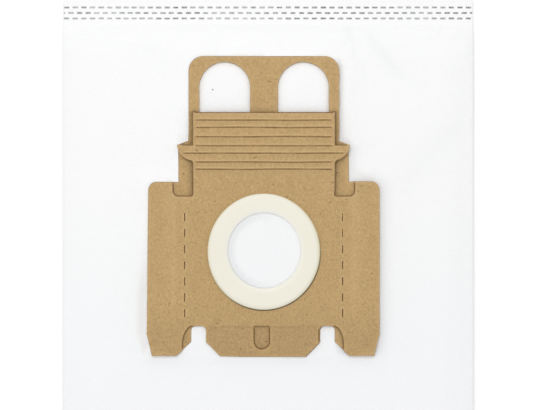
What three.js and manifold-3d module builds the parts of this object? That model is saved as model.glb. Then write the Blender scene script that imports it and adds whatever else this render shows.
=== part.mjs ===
// Vacuum dust bag: a welded fleece bag with a two-layer card collar and a rubber inlet ring.
// It lies on its back. Millimetres, +Z up, +Y toward the seam beyond the collar's grip.
// The origin is under the middle of the bag, on the surface that it lies on.

import * as THREE from 'three';
import { mergeGeometries, mergeVertices } from 'three/addons/utils/BufferGeometryUtils.js';
import Module from 'manifold-3d';

const wasm = await Module();
wasm.setup();

// Fleece bag: overall size, sheet and how it swells from its edges
const BAG_WIDTH = 207;
const BAG_LENGTH = 264;
const BAG_HEIGHT = 9;
const PLY = 0.9;
const WELD_THICKNESS = 1.4;
const WELD_BAND = 13;
const SIDE_SHOULDER = 34;
const END_SHOULDER = 22;
const FOLD_CHAMFER = 0.4;
const SHOULDER_STEPS = 8;

// End welds: rows of pressed dashes across the bag, every second row shifted by half a pitch
const WELD_ROWS = 3;
const WELD_ROW_PITCH = 2.77;
const FIRST_ROW_INSET = 4.2;
const WELD_COLUMNS = 48;
const DASH_LENGTH = 2.65;
const DASH_WIDTH = 0.85;
const DASH_DEPTH = 0.5;

// Lap seam along the back, where the fleece sheet closes into a tube
const LAP_WIDTH = 12;
const LAP_ROWS = 2;
const LAP_ROW_PITCH = 4;
const LAP_DASH_PITCH = 5.2;
const LAP_DASH_DEPTH = 0.4;

// Inlet: its place on the bag and the holes through ring, card and fleece
const INLET_X = -2.2;
const INLET_Y = 4.9;
const RING_BORE = 37.5;
const CARD_BORE = 44;
const FLEECE_BORE = 46;

// Rubber ring
const RING_OUTER = 57;
const RING_THICKNESS = 1.8;
const RING_OUTER_ROUND = 1.4;
const RING_BORE_ROUND = 0.7;
const RING_SEGMENTS = 64;
const RING_ROUND_STEPS = 4;

// Card collar body, shared by both layers; heights are measured from the inlet's centre
const CARD = 1.25;
const GLUE_LINE = 0.2;
const COLLAR_WIDTH = 116;
const COLLAR_HEAD = 34.6;
const COLLAR_FOOT = 52.5;
const HEAD_ROUND = 4;
const FOOT_CHAMFER_WIDTH = 2.7;
const FOOT_CHAMFER_RISE = 11.1;

// Foot tab between two notches, with the corner flaps outside them
const TAB_WIDTH = 56.6;
const NOTCH_WIDTH = 7.9;
const NOTCH_DEPTH = 15.1;
const NOTCH_ROUND = 2.4;
const NOTCH_FLARE_WIDTH = 7;
const NOTCH_FLARE_RISE = 7.6;

// Back layer: neck and grip with two finger windows
const NECK_WIDTH = 85.2;
const NECK_RISE = 18.7;
const GRIP_WIDTH = 75.4;
const GRIP_RISE = 44.3;
const GRIP_ROUND = 4.5;
const GRIP_FLARE = 3.3;
const WINDOW_WIDTH = 25.5;
const WINDOW_SPACING = 39.4;
const WINDOW_MARGIN = 3.2;
const WINDOW_TUCK = 4;

// Front layer: creased tongue with wings, beside two open slots
const TONGUE_WIDTH = 71.3;
const TONGUE_RISE = 35;
const HINGE_STRIP = 1.7;
const HINGE_NIB = 0.5;
const WING_SPAN = 86.6;
const WING_DROP = 16.3;
const WING_DEPTH = 9.7;
const WING_KNEE_OUT = 1.7;
const WING_KNEE_UP = 2;
const WING_KNEE_BEND = 1.6;
const WING_BELLY_OUT = 6.8;
const WING_BELLY_UP = 3.4;
const SLOT_WIDTH = 9.7;
const SLOT_DEPTH = 6.8;
const SLOT_OUTER_ROUND = 2.5;
const SLOT_INNER_ROUND = 0.8;
const FRONT_TAB_INSET = 0.4;
const RELIEF_WIDTH = 4;
const RELIEF_REACH = 1.4;
const RELIEF_DEPTH = 9.5;

// Creases pressed across the tongue: the step down to each from the one above, top edge first
const CREASE_STEPS = [4.1, 3.65, 4.65, 4.5, 3.75, 4.4, 3.6];
const CREASE_WIDTH = 0.5;
const CREASE_DEPTH = 0.45;
const LONG_CREASE = 4;
const LONG_CREASE_INSET = 3.3;

// Score lines of the folding sides and the foot tab
const SCORE_WIDTH = 0.8;
const SCORE_DEPTH = 0.12;
const SIDE_SCORE_SPACING = 90;

// Perforations beside the ring and the small window in the foot tab
const PERFORATION_SPACING = 79;
const PERFORATION_COUNT = 7;
const PERFORATION_PITCH = 8.02;
const PERFORATION_LENGTH = 4;
const PERFORATION_WIDTH = 0.5;
const PERFORATION_TOP = 19;
const FOOT_WINDOW_WIDTH = 7.4;
const FOOT_WINDOW_LENGTH = 11.3;
const FOOT_WINDOW_SHIFT = -0.9;

// Facets of the round stretches
const CORNER_STEPS = 3;
const ARCH_STEPS = 10;
const BORE_SEGMENTS = 64;

// How far a cutter runs past the face it cuts, and how close two points count as one
const CUT_OVERRUN = 1;
const MERGE_DISTANCE = 1e-4;

// Places that follow from the sizes above
const collarSide = COLLAR_WIDTH / 2;
const tabSide = TAB_WIDTH / 2;
const flapInner = tabSide + NOTCH_WIDTH;
const notchTop = NOTCH_DEPTH - COLLAR_FOOT;
const neckTop = COLLAR_HEAD + NECK_RISE;
const gripTop = neckTop + GRIP_RISE;
const tongueSide = TONGUE_WIDTH / 2;
const tongueTop = COLLAR_HEAD + TONGUE_RISE;
const wingTop = tongueTop - WING_DROP;
const slotFloor = COLLAR_HEAD - SLOT_DEPTH;

function toSolid(geometry) {
  const bare = geometry.clone();
  bare.deleteAttribute('normal');
  bare.deleteAttribute('uv');
  const merged = mergeVertices(bare, MERGE_DISTANCE);
  return new wasm.Manifold(new wasm.Mesh({
    numProp: 3,
    vertProperties: new Float32Array(merged.attributes.position.array),
    triVerts: new Uint32Array(merged.index.array),
  }));
}

function toGeometry(solid) {
  const mesh = solid.getMesh();
  const geometry = new THREE.BufferGeometry();
  const positions = new Float32Array(mesh.vertProperties);
  geometry.setAttribute('position', new THREE.BufferAttribute(positions, mesh.numProp));
  geometry.setIndex(new THREE.BufferAttribute(new Uint32Array(mesh.triVerts), 1));
  geometry.computeVertexNormals();
  return geometry;
}

function boxAt(width, length, height, x, y, z) {
  return new THREE.BoxGeometry(width, length, height).translate(x, y, z);
}

// A round plug along Z, from one height to another
function plug(diameter, low, high, x, y) {
  const radius = diameter / 2;
  const cylinder = new THREE.CylinderGeometry(radius, radius, high - low, BORE_SEGMENTS);
  return cylinder.rotateX(Math.PI / 2).translate(x, y, (low + high) / 2);
}

// Height of the front sheet: it rises from the welds and side folds like a quarter ellipse
function swell(distance, shoulder) {
  const reach = THREE.MathUtils.clamp(distance / shoulder, 0, 1);
  return Math.sqrt(1 - (1 - reach) ** 2);
}

function frontHeight(x, y) {
  const fromSide = BAG_WIDTH / 2 - Math.abs(x);
  const fromWeld = BAG_LENGTH / 2 - WELD_BAND - Math.abs(y);
  const rise = swell(fromSide, SIDE_SHOULDER) * swell(fromWeld, END_SHOULDER);
  return WELD_THICKNESS + (BAG_HEIGHT - WELD_THICKNESS) * rise;
}

// Stations from one edge to the other, closest together where the sheet turns most
function shoulderStations(edge, shoulder) {
  const half = [];
  for (let step = 0; step <= SHOULDER_STEPS; step += 1) {
    const angle = (step / SHOULDER_STEPS) * (Math.PI / 2);
    half.push(edge - shoulder * (1 - Math.cos(angle)));
  }
  return [...half, ...half.slice().reverse().map((place) => -place)];
}

// One closed body through a run of rings with the same number of points, with a fan on each end
function loft(rings) {
  const count = rings[0].length;
  const points = rings.flat();
  const index = [];
  for (let ring = 0; ring + 1 < rings.length; ring += 1) {
    for (let i = 0; i < count; i += 1) {
      const next = (i + 1) % count;
      const a = ring * count + i;
      const b = ring * count + next;
      index.push(a, b, b + count, a, b + count, a + count);
    }
  }
  for (const ring of [0, rings.length - 1]) {
    const centre = new THREE.Vector3();
    rings[ring].forEach((point) => centre.addScaledVector(point, 1 / count));
    const hub = points.push(centre) - 1;
    for (let i = 0; i < count; i += 1) {
      const a = ring * count + i;
      const b = ring * count + ((i + 1) % count);
      index.push(...(ring === 0 ? [hub, b, a] : [hub, a, b]));
    }
  }
  const geometry = new THREE.BufferGeometry().setFromPoints(points);
  return geometry.setIndex(index);
}

function bagOutside() {
  const across = shoulderStations(BAG_WIDTH / 2, SIDE_SHOULDER);
  const bandEnd = BAG_LENGTH / 2 - WELD_BAND;
  const along = [BAG_LENGTH / 2, ...shoulderStations(bandEnd, END_SHOULDER), -BAG_LENGTH / 2];
  const side = BAG_WIDTH / 2;
  return loft(along.map((y) => [
    ...across.map((x) => new THREE.Vector3(x, y, frontHeight(x, y))),
    new THREE.Vector3(-side, y, FOLD_CHAMFER),
    new THREE.Vector3(FOLD_CHAMFER - side, y, 0),
    new THREE.Vector3(side - FOLD_CHAMFER, y, 0),
    new THREE.Vector3(side, y, FOLD_CHAMFER),
  ]));
}

function bagHollow() {
  const side = BAG_WIDTH / 2 - PLY;
  const end = BAG_LENGTH / 2 - WELD_BAND - PLY;
  const across = shoulderStations(side, SIDE_SHOULDER - PLY);
  const along = shoulderStations(end, END_SHOULDER - PLY);
  return loft(along.map((y) => [
    ...across.map((x) => new THREE.Vector3(x, y, frontHeight(x, y) - PLY)),
    new THREE.Vector3(-side, y, PLY),
    new THREE.Vector3(side, y, PLY),
  ]));
}

// Pressed dashes across both welded ends, on the front; a shifted row starts and ends in half a dash
function endWeldDashes() {
  const pitch = BAG_WIDTH / WELD_COLUMNS;
  const height = DASH_DEPTH + CUT_OVERRUN;
  const z = WELD_THICKNESS - DASH_DEPTH + height / 2;
  const dashes = [];
  for (const end of [1, -1]) {
    for (let row = 0; row < WELD_ROWS; row += 1) {
      const y = end * (BAG_LENGTH / 2 - FIRST_ROW_INSET - row * WELD_ROW_PITCH);
      const shifted = row % 2 === 1;
      const count = shifted ? WELD_COLUMNS + 1 : WELD_COLUMNS;
      for (let column = 0; column < count; column += 1) {
        const x = (column - (count - 1) / 2) * pitch;
        dashes.push(boxAt(DASH_LENGTH, DASH_WIDTH, height, x, y, z));
      }
    }
  }
  return mergeGeometries(dashes);
}

// Pressed dashes along the lap seam, on the back
function lapSeamDashes() {
  const run = BAG_LENGTH - 2 * WELD_BAND;
  const count = Math.floor(run / LAP_DASH_PITCH);
  const height = LAP_DASH_DEPTH + CUT_OVERRUN;
  const z = LAP_DASH_DEPTH - height / 2;
  const dashes = [];
  for (let row = 0; row < LAP_ROWS; row += 1) {
    const x = (row - (LAP_ROWS - 1) / 2) * LAP_ROW_PITCH;
    for (let i = 0; i < count; i += 1) {
      const y = (i - (count - 1) / 2) * LAP_DASH_PITCH;
      dashes.push(boxAt(DASH_WIDTH, DASH_LENGTH, height, x, y, z));
    }
  }
  return mergeGeometries(dashes);
}

function makeFilterBag() {
  const lapRise = WELD_THICKNESS - PLY;
  const lapHeight = lapRise + CUT_OVERRUN;
  const lap = boxAt(LAP_WIDTH, BAG_LENGTH, lapHeight, 0, 0, WELD_THICKNESS - lapHeight / 2);
  const hollow = toSolid(bagHollow()).subtract(toSolid(lap));
  const inlet = plug(FLEECE_BORE, BAG_HEIGHT / 2, BAG_HEIGHT + CUT_OVERRUN, INLET_X, INLET_Y);
  return toGeometry(toSolid(bagOutside())
    .subtract(hollow)
    .subtract(toSolid(inlet))
    .subtract(toSolid(endWeldDashes()))
    .subtract(toSolid(lapSeamDashes())));
}

// An outline from the path of its right half, which runs upward and stays clear of the axis
function mirroredShape(rightHalf) {
  const right = rightHalf.getPoints(CORNER_STEPS);
  const left = right.map((point) => new THREE.Vector2(-point.x, point.y)).reverse();
  return new THREE.Shape([...right, ...left]);
}

function extrudeCard(shape) {
  return new THREE.ExtrudeGeometry(shape, { depth: CARD, bevelEnabled: false });
}

// A cutter for a hole with one straight end, at base, and one round end
function archedCutter(x, width, base, tip) {
  const half = width / 2;
  const upward = tip > base;
  const archCentre = upward ? tip - half : tip + half;
  const shape = new THREE.Shape();
  shape.moveTo(x - half, base);
  shape.lineTo(x + half, base);
  shape.absarc(x, archCentre, half, 0, upward ? Math.PI : -Math.PI, !upward);
  const depth = CARD + 2 * CUT_OVERRUN;
  const cutter = new THREE.ExtrudeGeometry(shape, { depth, bevelEnabled: false, curveSegments: ARCH_STEPS });
  return cutter.translate(0, 0, -CUT_OVERRUN);
}

function boreCutter() {
  return plug(CARD_BORE, -CUT_OVERRUN, CARD + CUT_OVERRUN, 0, 0);
}

// Up one side of the foot tab and over the first corner of the notch
function traceTab(path, side) {
  path.moveTo(side - NOTCH_FLARE_WIDTH, -COLLAR_FOOT);
  path.lineTo(side, NOTCH_FLARE_RISE - COLLAR_FOOT);
  path.lineTo(side, notchTop - NOTCH_ROUND);
  path.absarc(side + NOTCH_ROUND, notchTop - NOTCH_ROUND, NOTCH_ROUND, Math.PI, Math.PI / 2, true);
}

// From the notch round the corner flap and up the side to the head corner
function traceFlapAndSide(path) {
  path.lineTo(flapInner + NOTCH_FLARE_WIDTH, -COLLAR_FOOT);
  path.lineTo(collarSide - FOOT_CHAMFER_WIDTH, -COLLAR_FOOT);
  path.lineTo(collarSide, FOOT_CHAMFER_RISE - COLLAR_FOOT);
  path.lineTo(collarSide, COLLAR_HEAD - HEAD_ROUND);
  path.absarc(collarSide - HEAD_ROUND, COLLAR_HEAD - HEAD_ROUND, HEAD_ROUND, 0, Math.PI / 2, false);
}

function makeBackPlate() {
  const path = new THREE.Path();
  traceTab(path, tabSide);
  const round = NOTCH_ROUND;
  path.absarc(flapInner - round, notchTop - round, round, Math.PI / 2, 0, true);
  path.lineTo(flapInner, NOTCH_FLARE_RISE - COLLAR_FOOT);
  traceFlapAndSide(path);
  const neckSide = NECK_WIDTH / 2;
  const gripSide = GRIP_WIDTH / 2;
  path.lineTo(neckSide, COLLAR_HEAD);
  path.lineTo(neckSide, neckTop);
  path.quadraticCurveTo(gripSide, neckTop, gripSide, neckTop + GRIP_FLARE);
  path.lineTo(gripSide, gripTop - GRIP_ROUND);
  path.absarc(gripSide - GRIP_ROUND, gripTop - GRIP_ROUND, GRIP_ROUND, 0, Math.PI / 2, false);
  const windows = [-1, 1].map((hand) => {
    const x = (hand * WINDOW_SPACING) / 2;
    return archedCutter(x, WINDOW_WIDTH, tongueTop - WINDOW_TUCK, gripTop - WINDOW_MARGIN);
  });
  return toGeometry(toSolid(extrudeCard(mirroredShape(path)))
    .subtract(toSolid(boreCutter()))
    .subtract(toSolid(mergeGeometries(windows))));
}

// The wing's under edge: a tight hollow at the tongue, then a full curve out to the tip
function traceWing(path) {
  const root = wingTop - WING_DEPTH;
  const kneeX = tongueSide + WING_KNEE_OUT;
  const bellyX = tongueSide + WING_BELLY_OUT;
  path.lineTo(tongueSide, root);
  path.quadraticCurveTo(tongueSide, root + WING_KNEE_BEND, kneeX, root + WING_KNEE_UP);
  path.quadraticCurveTo(bellyX, root + WING_BELLY_UP, WING_SPAN / 2, wingTop);
  path.lineTo(tongueSide, wingTop);
}

function frontPlateOutline() {
  const path = new THREE.Path();
  traceTab(path, tabSide - FRONT_TAB_INSET);
  const reliefSide = flapInner + RELIEF_WIDTH;
  const reliefStart = flapInner - RELIEF_REACH;
  const reliefEnd = notchTop - RELIEF_DEPTH;
  path.absellipse(
    reliefStart, reliefEnd, reliefSide - reliefStart, RELIEF_DEPTH, Math.PI / 2, 0, true, 0,
  );
  const flareLeft = 1 - RELIEF_WIDTH / NOTCH_FLARE_WIDTH;
  path.lineTo(reliefSide, NOTCH_FLARE_RISE * flareLeft - COLLAR_FOOT);
  traceFlapAndSide(path);
  const slotSide = tongueSide + SLOT_WIDTH;
  const outer = SLOT_OUTER_ROUND;
  const inner = SLOT_INNER_ROUND;
  path.lineTo(slotSide, COLLAR_HEAD);
  path.absarc(slotSide - outer, slotFloor + outer, outer, 0, -Math.PI / 2, true);
  path.absarc(tongueSide + inner, slotFloor + inner, inner, -Math.PI / 2, -Math.PI, true);
  traceWing(path);
  path.lineTo(tongueSide, tongueTop + HINGE_NIB);
  path.lineTo(tongueSide - HINGE_STRIP, tongueTop + HINGE_NIB);
  path.lineTo(tongueSide - HINGE_STRIP, tongueTop);
  return mirroredShape(path);
}

// A shallow line pressed into the card's front face, from a to b
function pressedLine(a, b, width, depth) {
  const run = new THREE.Vector2().subVectors(b, a);
  const middle = new THREE.Vector2().addVectors(a, b).multiplyScalar(0.5);
  const height = depth + CUT_OVERRUN;
  const groove = new THREE.BoxGeometry(run.length(), width, height);
  return groove.rotateZ(run.angle()).translate(middle.x, middle.y, CARD - depth + height / 2);
}

function tongueCreases() {
  const shortEnd = tongueSide - HINGE_STRIP;
  const longEnd = WING_SPAN / 2 - LONG_CREASE_INSET;
  let y = tongueTop;
  return CREASE_STEPS.map((step, number) => {
    y -= step;
    const end = number === LONG_CREASE ? longEnd : shortEnd;
    const from = new THREE.Vector2(-end, y);
    return pressedLine(from, new THREE.Vector2(end, y), CREASE_WIDTH, CREASE_DEPTH);
  });
}

function scoreLines() {
  const scores = [];
  for (const hand of [-1, 1]) {
    const x = (hand * SIDE_SCORE_SPACING) / 2;
    const low = new THREE.Vector2(x, -COLLAR_FOOT - CUT_OVERRUN);
    const high = new THREE.Vector2(x, slotFloor - SCORE_WIDTH);
    scores.push(pressedLine(low, high, SCORE_WIDTH, SCORE_DEPTH));
    const tabEnd = new THREE.Vector2(hand * (tabSide + NOTCH_ROUND), notchTop - SCORE_WIDTH);
    const windowSide = FOOT_WINDOW_SHIFT + (hand * FOOT_WINDOW_WIDTH) / 2;
    const windowEnd = new THREE.Vector2(windowSide, notchTop - SCORE_WIDTH);
    scores.push(pressedLine(windowEnd, tabEnd, SCORE_WIDTH, SCORE_DEPTH));
  }
  return scores;
}

function perforations() {
  const height = CARD + 2 * CUT_OVERRUN;
  const cuts = [];
  for (const hand of [-1, 1]) {
    const x = (hand * PERFORATION_SPACING) / 2;
    for (let i = 0; i < PERFORATION_COUNT; i += 1) {
      const y = PERFORATION_TOP - PERFORATION_LENGTH / 2 - i * PERFORATION_PITCH;
      cuts.push(boxAt(PERFORATION_WIDTH, PERFORATION_LENGTH, height, x, y, CARD / 2));
    }
  }
  return cuts;
}

function makeFrontPlate() {
  const windowTip = notchTop - FOOT_WINDOW_LENGTH;
  const window = archedCutter(FOOT_WINDOW_SHIFT, FOOT_WINDOW_WIDTH, notchTop, windowTip);
  return toGeometry(toSolid(extrudeCard(frontPlateOutline()))
    .subtract(toSolid(boreCutter()))
    .subtract(toSolid(window))
    .subtract(toSolid(mergeGeometries(tongueCreases())))
    .subtract(toSolid(mergeGeometries(perforations())))
    .subtract(toSolid(mergeGeometries(scoreLines()))));
}

// A quarter round of the ring's section, from one angle to the other
function roundedCorner(x, y, radius, from, to) {
  const arc = new THREE.EllipseCurve(x, y, radius, radius, from, to, from > to);
  return arc.getPoints(RING_ROUND_STEPS);
}

function makeSealRing() {
  const inside = RING_BORE / 2;
  const outside = RING_OUTER / 2;
  const top = RING_THICKNESS;
  const outer = RING_OUTER_ROUND;
  const inner = RING_BORE_ROUND;
  const section = [
    new THREE.Vector2(inside, 0),
    new THREE.Vector2(outside, 0),
    ...roundedCorner(outside - outer, top - outer, outer, 0, Math.PI / 2),
    ...roundedCorner(inside + inner, top - inner, inner, Math.PI / 2, Math.PI),
    new THREE.Vector2(inside, 0),
  ];
  return toGeometry(toSolid(new THREE.LatheGeometry(section, RING_SEGMENTS).rotateX(Math.PI / 2)));
}

const fleece = new THREE.MeshStandardMaterial({ color: 0xf6f7f9, roughness: 0.95, metalness: 0 });
const backCard = new THREE.MeshStandardMaterial({ color: 0xb8976a, roughness: 0.9, metalness: 0 });
const frontCard = new THREE.MeshStandardMaterial({ color: 0xc0a173, roughness: 0.9, metalness: 0 });
const rubber = new THREE.MeshStandardMaterial({ color: 0xf1eedf, roughness: 0.6, metalness: 0 });

function namedMesh(name, geometry, material, z) {
  const mesh = new THREE.Mesh(geometry, material);
  mesh.name = name;
  mesh.position.z = z;
  return mesh;
}

const backPlateBase = GLUE_LINE;
const frontPlateBase = backPlateBase + CARD + GLUE_LINE;
const ringBase = frontPlateBase + CARD + GLUE_LINE;

const collar = new THREE.Group();
collar.position.set(INLET_X, INLET_Y, BAG_HEIGHT);
collar.add(namedMesh('back_plate', makeBackPlate(), backCard, backPlateBase));
collar.add(namedMesh('front_plate', makeFrontPlate(), frontCard, frontPlateBase));
collar.add(namedMesh('seal_ring', makeSealRing(), rubber, ringBase));

const dustBag = new THREE.Group();
dustBag.name = 'vacuum_dust_bag';
dustBag.add(namedMesh('filter_bag', makeFilterBag(), fleece, 0));
dustBag.add(collar);

export default dustBag;
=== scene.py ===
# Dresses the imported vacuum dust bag: a welded fleece bag, two layers of kraft card and a rubber ring.
# Sizes and places are in millimetres; a mesh is written in metres when it is made.
import math
import random

import bmesh
import bpy
import numpy as np
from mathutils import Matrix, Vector, noise
from mathutils.geometry import delaunay_2d_cdt


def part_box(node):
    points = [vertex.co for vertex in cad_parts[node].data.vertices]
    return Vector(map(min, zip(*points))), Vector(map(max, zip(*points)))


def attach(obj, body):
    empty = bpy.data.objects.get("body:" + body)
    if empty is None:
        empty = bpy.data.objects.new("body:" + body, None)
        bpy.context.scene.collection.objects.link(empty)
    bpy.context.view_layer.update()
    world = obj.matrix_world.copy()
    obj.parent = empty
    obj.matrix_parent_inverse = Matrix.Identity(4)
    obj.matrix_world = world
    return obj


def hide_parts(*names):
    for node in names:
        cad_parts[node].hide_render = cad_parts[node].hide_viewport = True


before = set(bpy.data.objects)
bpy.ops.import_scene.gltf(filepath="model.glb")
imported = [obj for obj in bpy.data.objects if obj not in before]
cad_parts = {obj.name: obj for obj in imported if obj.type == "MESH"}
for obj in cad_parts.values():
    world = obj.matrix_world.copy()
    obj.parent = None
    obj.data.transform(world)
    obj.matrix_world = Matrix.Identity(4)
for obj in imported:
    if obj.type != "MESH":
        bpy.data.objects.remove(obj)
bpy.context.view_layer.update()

MM = 0.001
random.seed(17)


def node_box(node):
    """Lowest and highest corner of a CAD node, in millimetres."""
    low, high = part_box(node)
    return np.array(low) / MM, np.array(high) / MM


back_low, back_high = node_box("back_plate")
front_low, front_high = node_box("front_plate")
ring_low, ring_high = node_box("seal_ring")

# Fleece bag, from the frame, with its welds and how it swells from its edges
BAG_SIDE, BAG_END, BAG_HEIGHT = node_box("filter_bag")[1]
PLY = 0.9
WELD_THICKNESS = 1.4
WELD_BAND = 13.0
FOLD_THICKNESS = 4.4
SIDE_SHOULDER = 22.0
END_SHOULDER = 22.0
SHOULDER_POWER = 2.6
EDGE_REACH = 0.7
CORNER_ROUND = 1.6
SHEET_CELL = 2.6
EDGE_CELL = 1.6
INNER_CELL = 5.0

# The soft fleece stands up beside the card that presses into it, less on the right and at the lower left,
# and in the card's windows
FRINGE_RISE = 1.9
FRINGE_REACH = 10.0
FRINGE_RIGHT = 0.65
FRINGE_GAP = 0.12
FRINGE_CELL = 1.3
FRINGE_BAND = 5.0
WINDOW_RISE = 1.2
WINDOW_REACH = 2.6

# It sinks close beside the card's right side, its lower left side and the left of its grip
GROOVE_DEPTH = 1.3
GROOVE_REACH = 2.5
GROOVE_GRIP_REACH = 1.5
GROOVE_GRIP_LEFT = 0.7
GROOVE_RIGHT = 0.2
# Painted shade on the fleece beside the card's right side: its strength and reach
GROOVE_SHADE = 0.85
GROOVE_SHADE_REACH = 7.0
GROOVE_LEFT_TOP = 13.0
GROOVE_LEFT_FULL = -24.0

# End welds
WELD_ROWS = 3
WELD_ROW_PITCH = 2.77
FIRST_ROW_INSET = 4.38
WELD_COLUMNS = 48
DASH_LENGTH = 2.65
DASH_TONES = (0.95, 0.95, 0.9)
DASH_TONE_LEAN = 0.13
DASH_TONE_MIDDLE = -12.0
DASH_TONE_REACH = 35.0
DASH_TONE_WAVE = 0.22
DASH_WIDTH = 0.85
DASH_DEPTH = 0.5
DASH_RIM = 0.22
BAND_PUFF = 0.16
BAND_CELL = 0.9
# How far the dashes lie to the left of an even spacing, at places across the bag
DASH_DRIFT = [
    (-92.0, 0.15), (-76.0, 0.05), (-62.0, 1.1), (-46.0, 1.3), (-31.0, 1.2), (-16.0, 1.07), (-1.0, 0.75),
    (14.0, 0.42), (29.0, 0.12), (44.0, -0.05), (59.0, 0.1), (74.0, 0.2), (90.0, 0.25),
]

# Lap seam on the back
LAP_WIDTH = 12.0
LAP_ROW_PITCH = 4.0
LAP_DASH_PITCH = 5.2
LAP_DASH_DEPTH = 0.35
LAP_STEP = 0.3

# Loose inner liner of the back sheet, which shows through the inlet
LINER_HEIGHT = 11.6
LINER_RIM = 11.85
LINER_RIM_TOP = 12.0
LINER_RIM_TILT = (0.1, 0.25)
# Painted shade on the liner: beside the left of the bore, and all over
LINER_EDGE_SHADE = 0.7
LINER_PLAIN_SHADE = 0.22
LINER_SHOULDER = 0.76
LINER_FALL = 1.2
LINER_RADII = [2.5, 5.0, 7.5, 10.0, 12.0, 13.5, 14.3, 15.0, 15.7, 16.4, 17.1, 17.7, 18.2, 18.7, 19.2, 19.9,
               20.7, 21.5, 22.5, 23.5, 25.0, 28.0]
LINER_TOP = 19.2
LINER_REACH = 4.4

# Inlet and ring, from the frame
INLET = (ring_low[:2] + ring_high[:2]) / 2
RING_OUTER = (ring_high[0] - ring_low[0]) / 2
RING_BORE = 37.5 / 2
RING_OUTER_ROUND = 2.2
RING_OUTER_DROP = 1.4
RING_BORE_REACH = 2.4
RING_BORE_DROP = 1.65
RING_SQUEEZE = [(0.969, 1.006), (0.988, 1.019)]
RING_SHIFT = [(0.3, 0.3), (0.1, -0.2)]
# Painted shade on the ring's rounded flank: how much all round, at its left and at its right
FLANK_SHADE_AMOUNT = (0.2, 0.8, 0.75)
RING_STEPS = 176
RING_LIP_STEPS = 10
RING_FLANK_STEPS = 14
# A thin near-black bead at the ring's foot, shown mostly toward the lower right: a painted shadow. Its width,
# the direction and spread of where it shows, and its section as outward share, rise and share of the shadow
# colour
FOOT_SHADOW_WIDTH = 0.45
FOOT_SHADOW_TURN = (0.45, -0.9)
FOOT_SHADOW_ZONE = (-0.25, 1.1)
FOOT_SHADOW_SECTION = [(0.0, 0.1, 0.5), (0.5, 0.05, 1.0), (1.0, -0.1, 1.0), (-2 / 3, -0.15, 1.0)]
CARD_BORE = 44 / 2
FLEECE_BORE = 46 / 2

# Card collar; heights are measured from the inlet's centre
CARD = back_high[2] - back_low[2]
COLLAR_SIDE = (front_high[0] - front_low[0]) / 2
COLLAR_FOOT = INLET[1] - front_low[1]
COLLAR_HEAD = 34.6
HEAD_ROUND = 4.0
FOOT_CHAMFER_WIDTH = 2.7
FOOT_CHAMFER_RISE = 11.1
TAB_SIDE = 28.3
NOTCH_WIDTH = 7.9
NOTCH_DEPTH = 15.1
NOTCH_ROUND = 2.4
NOTCH_FLARE_WIDTH = 7.0
NOTCH_FLARE_RISE = 7.1
NECK_SIDE = 42.6
NECK_RISE = 18.7
GRIP_SIDE = 37.7
GRIP_RISE = 44.3
GRIP_ROUND = 7.2
GRIP_FLARE = 1.9
WINDOW_WIDTH = 25.5
WINDOW_SPACING = 39.4
WINDOW_MARGIN = 2.85
WINDOW_TUCK = 4.0
TONGUE_SIDE = 35.65
TONGUE_RISE = 35.0
HINGE_STRIP = 1.7
HINGE_NIB = 0.5
WING_REACH = 43.3
WING_DROP = 16.3
WING_DEPTH = 9.7
WING_KNEE_OUT = 1.7
WING_KNEE_UP = 2.0
WING_KNEE_BEND = 1.6
WING_BELLY_OUT = 6.8
WING_BELLY_UP = 3.4
SLOT_WIDTH = 9.7
SLOT_DEPTH = 6.8
SLOT_OUTER_ROUND = 2.5
SLOT_INNER_ROUND = 0.8
FRONT_TAB_SHIFT = -0.52
RELIEF_WIDTH = 4.0
RELIEF_REACH = 1.4
RELIEF_DEPTH = 9.5
FOOT_WINDOW_WIDTH = 7.4
FOOT_WINDOW_LENGTH = 11.3
FOOT_WINDOW_SHIFT = -0.9
PERFORATION_SIDE = 39.5
PERFORATION_COUNT = 7
PERFORATION_PITCH = 8.02
PERFORATION_LENGTH = 4.0
PERFORATION_WIDTH = 0.34
PERFORATION_TOP = 19.0

# Creases across the tongue: the step down to each from the one above
CREASE_STEPS = [4.1, 3.65, 4.65, 4.5, 3.75, 4.4, 3.6]
CREASE_ROWS = (-1.3, -0.78, -0.5, -0.32, -0.16, 0.0, 0.16, 0.32, 0.5, 0.78, 1.3)
CREASE_DEPTH = 0.45
CREASE_HALF_WIDTH = 0.26
CREASE_LIP = 0.15
CREASE_LIP_AT = 0.75
CREASE_WAVE = 0.14
# Painted shade in each crease's groove, and the strength of the painted highlight on its upper lip
CREASE_SHADE = 0.53
CREASE_LIP_HIGHLIGHT = 1.5
LONG_CREASE = 4
LONG_CREASE_INSET = 3.3
SCORE_SIDE = 45.0
SCORE_DEPTH = 0.14
# Painted shade along the foot tab's folding line
SCORE_SHADE = 0.27
SCORE_HALF_WIDTH = 0.5
SCORE_ROWS = (-0.9, -0.45, 0.0, 0.45, 0.9)
FOOT_SCORE_ROWS = (-0.9, -0.5, -0.25, 0.0, 0.25, 0.5, 0.9)

# How finely the card is meshed, how its cut edges are crushed, with a painted highlight along their top and
# painted shade at crevices, and how the card lies
CARD_CELL = 2.2
OUTLINE_CELL = 1.1
CUT_ROUND = 0.06
EDGE_FLARE = 0.08
CREVICE_FLARE = 0.55
CREVICE_PROBE = 0.5
EDGE_HIGHLIGHT = 0.55
TONGUE_SHADE_ROWS = (-0.8, 0.2, 1.0, 2.0, 3.2)
TONGUE_LIFT = 2.1
TONGUE_SINK = 0.5
CUT_RAGGED = 0.05
COLLAR_WARP = 0.12
SHARP_ANGLE = 38.0
CHUNK = 2000
GRIP_SHIFT = 0.22
FLAP_LEAN = 0.0125
FOOT_SAG = 0.25
HEAD_LIFT = 0.3
NOTCH_SHIFT = 0.45
TONGUE_SHIFT = 0.35
BELLY_CREVICE = (0.15, 0.55)

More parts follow.
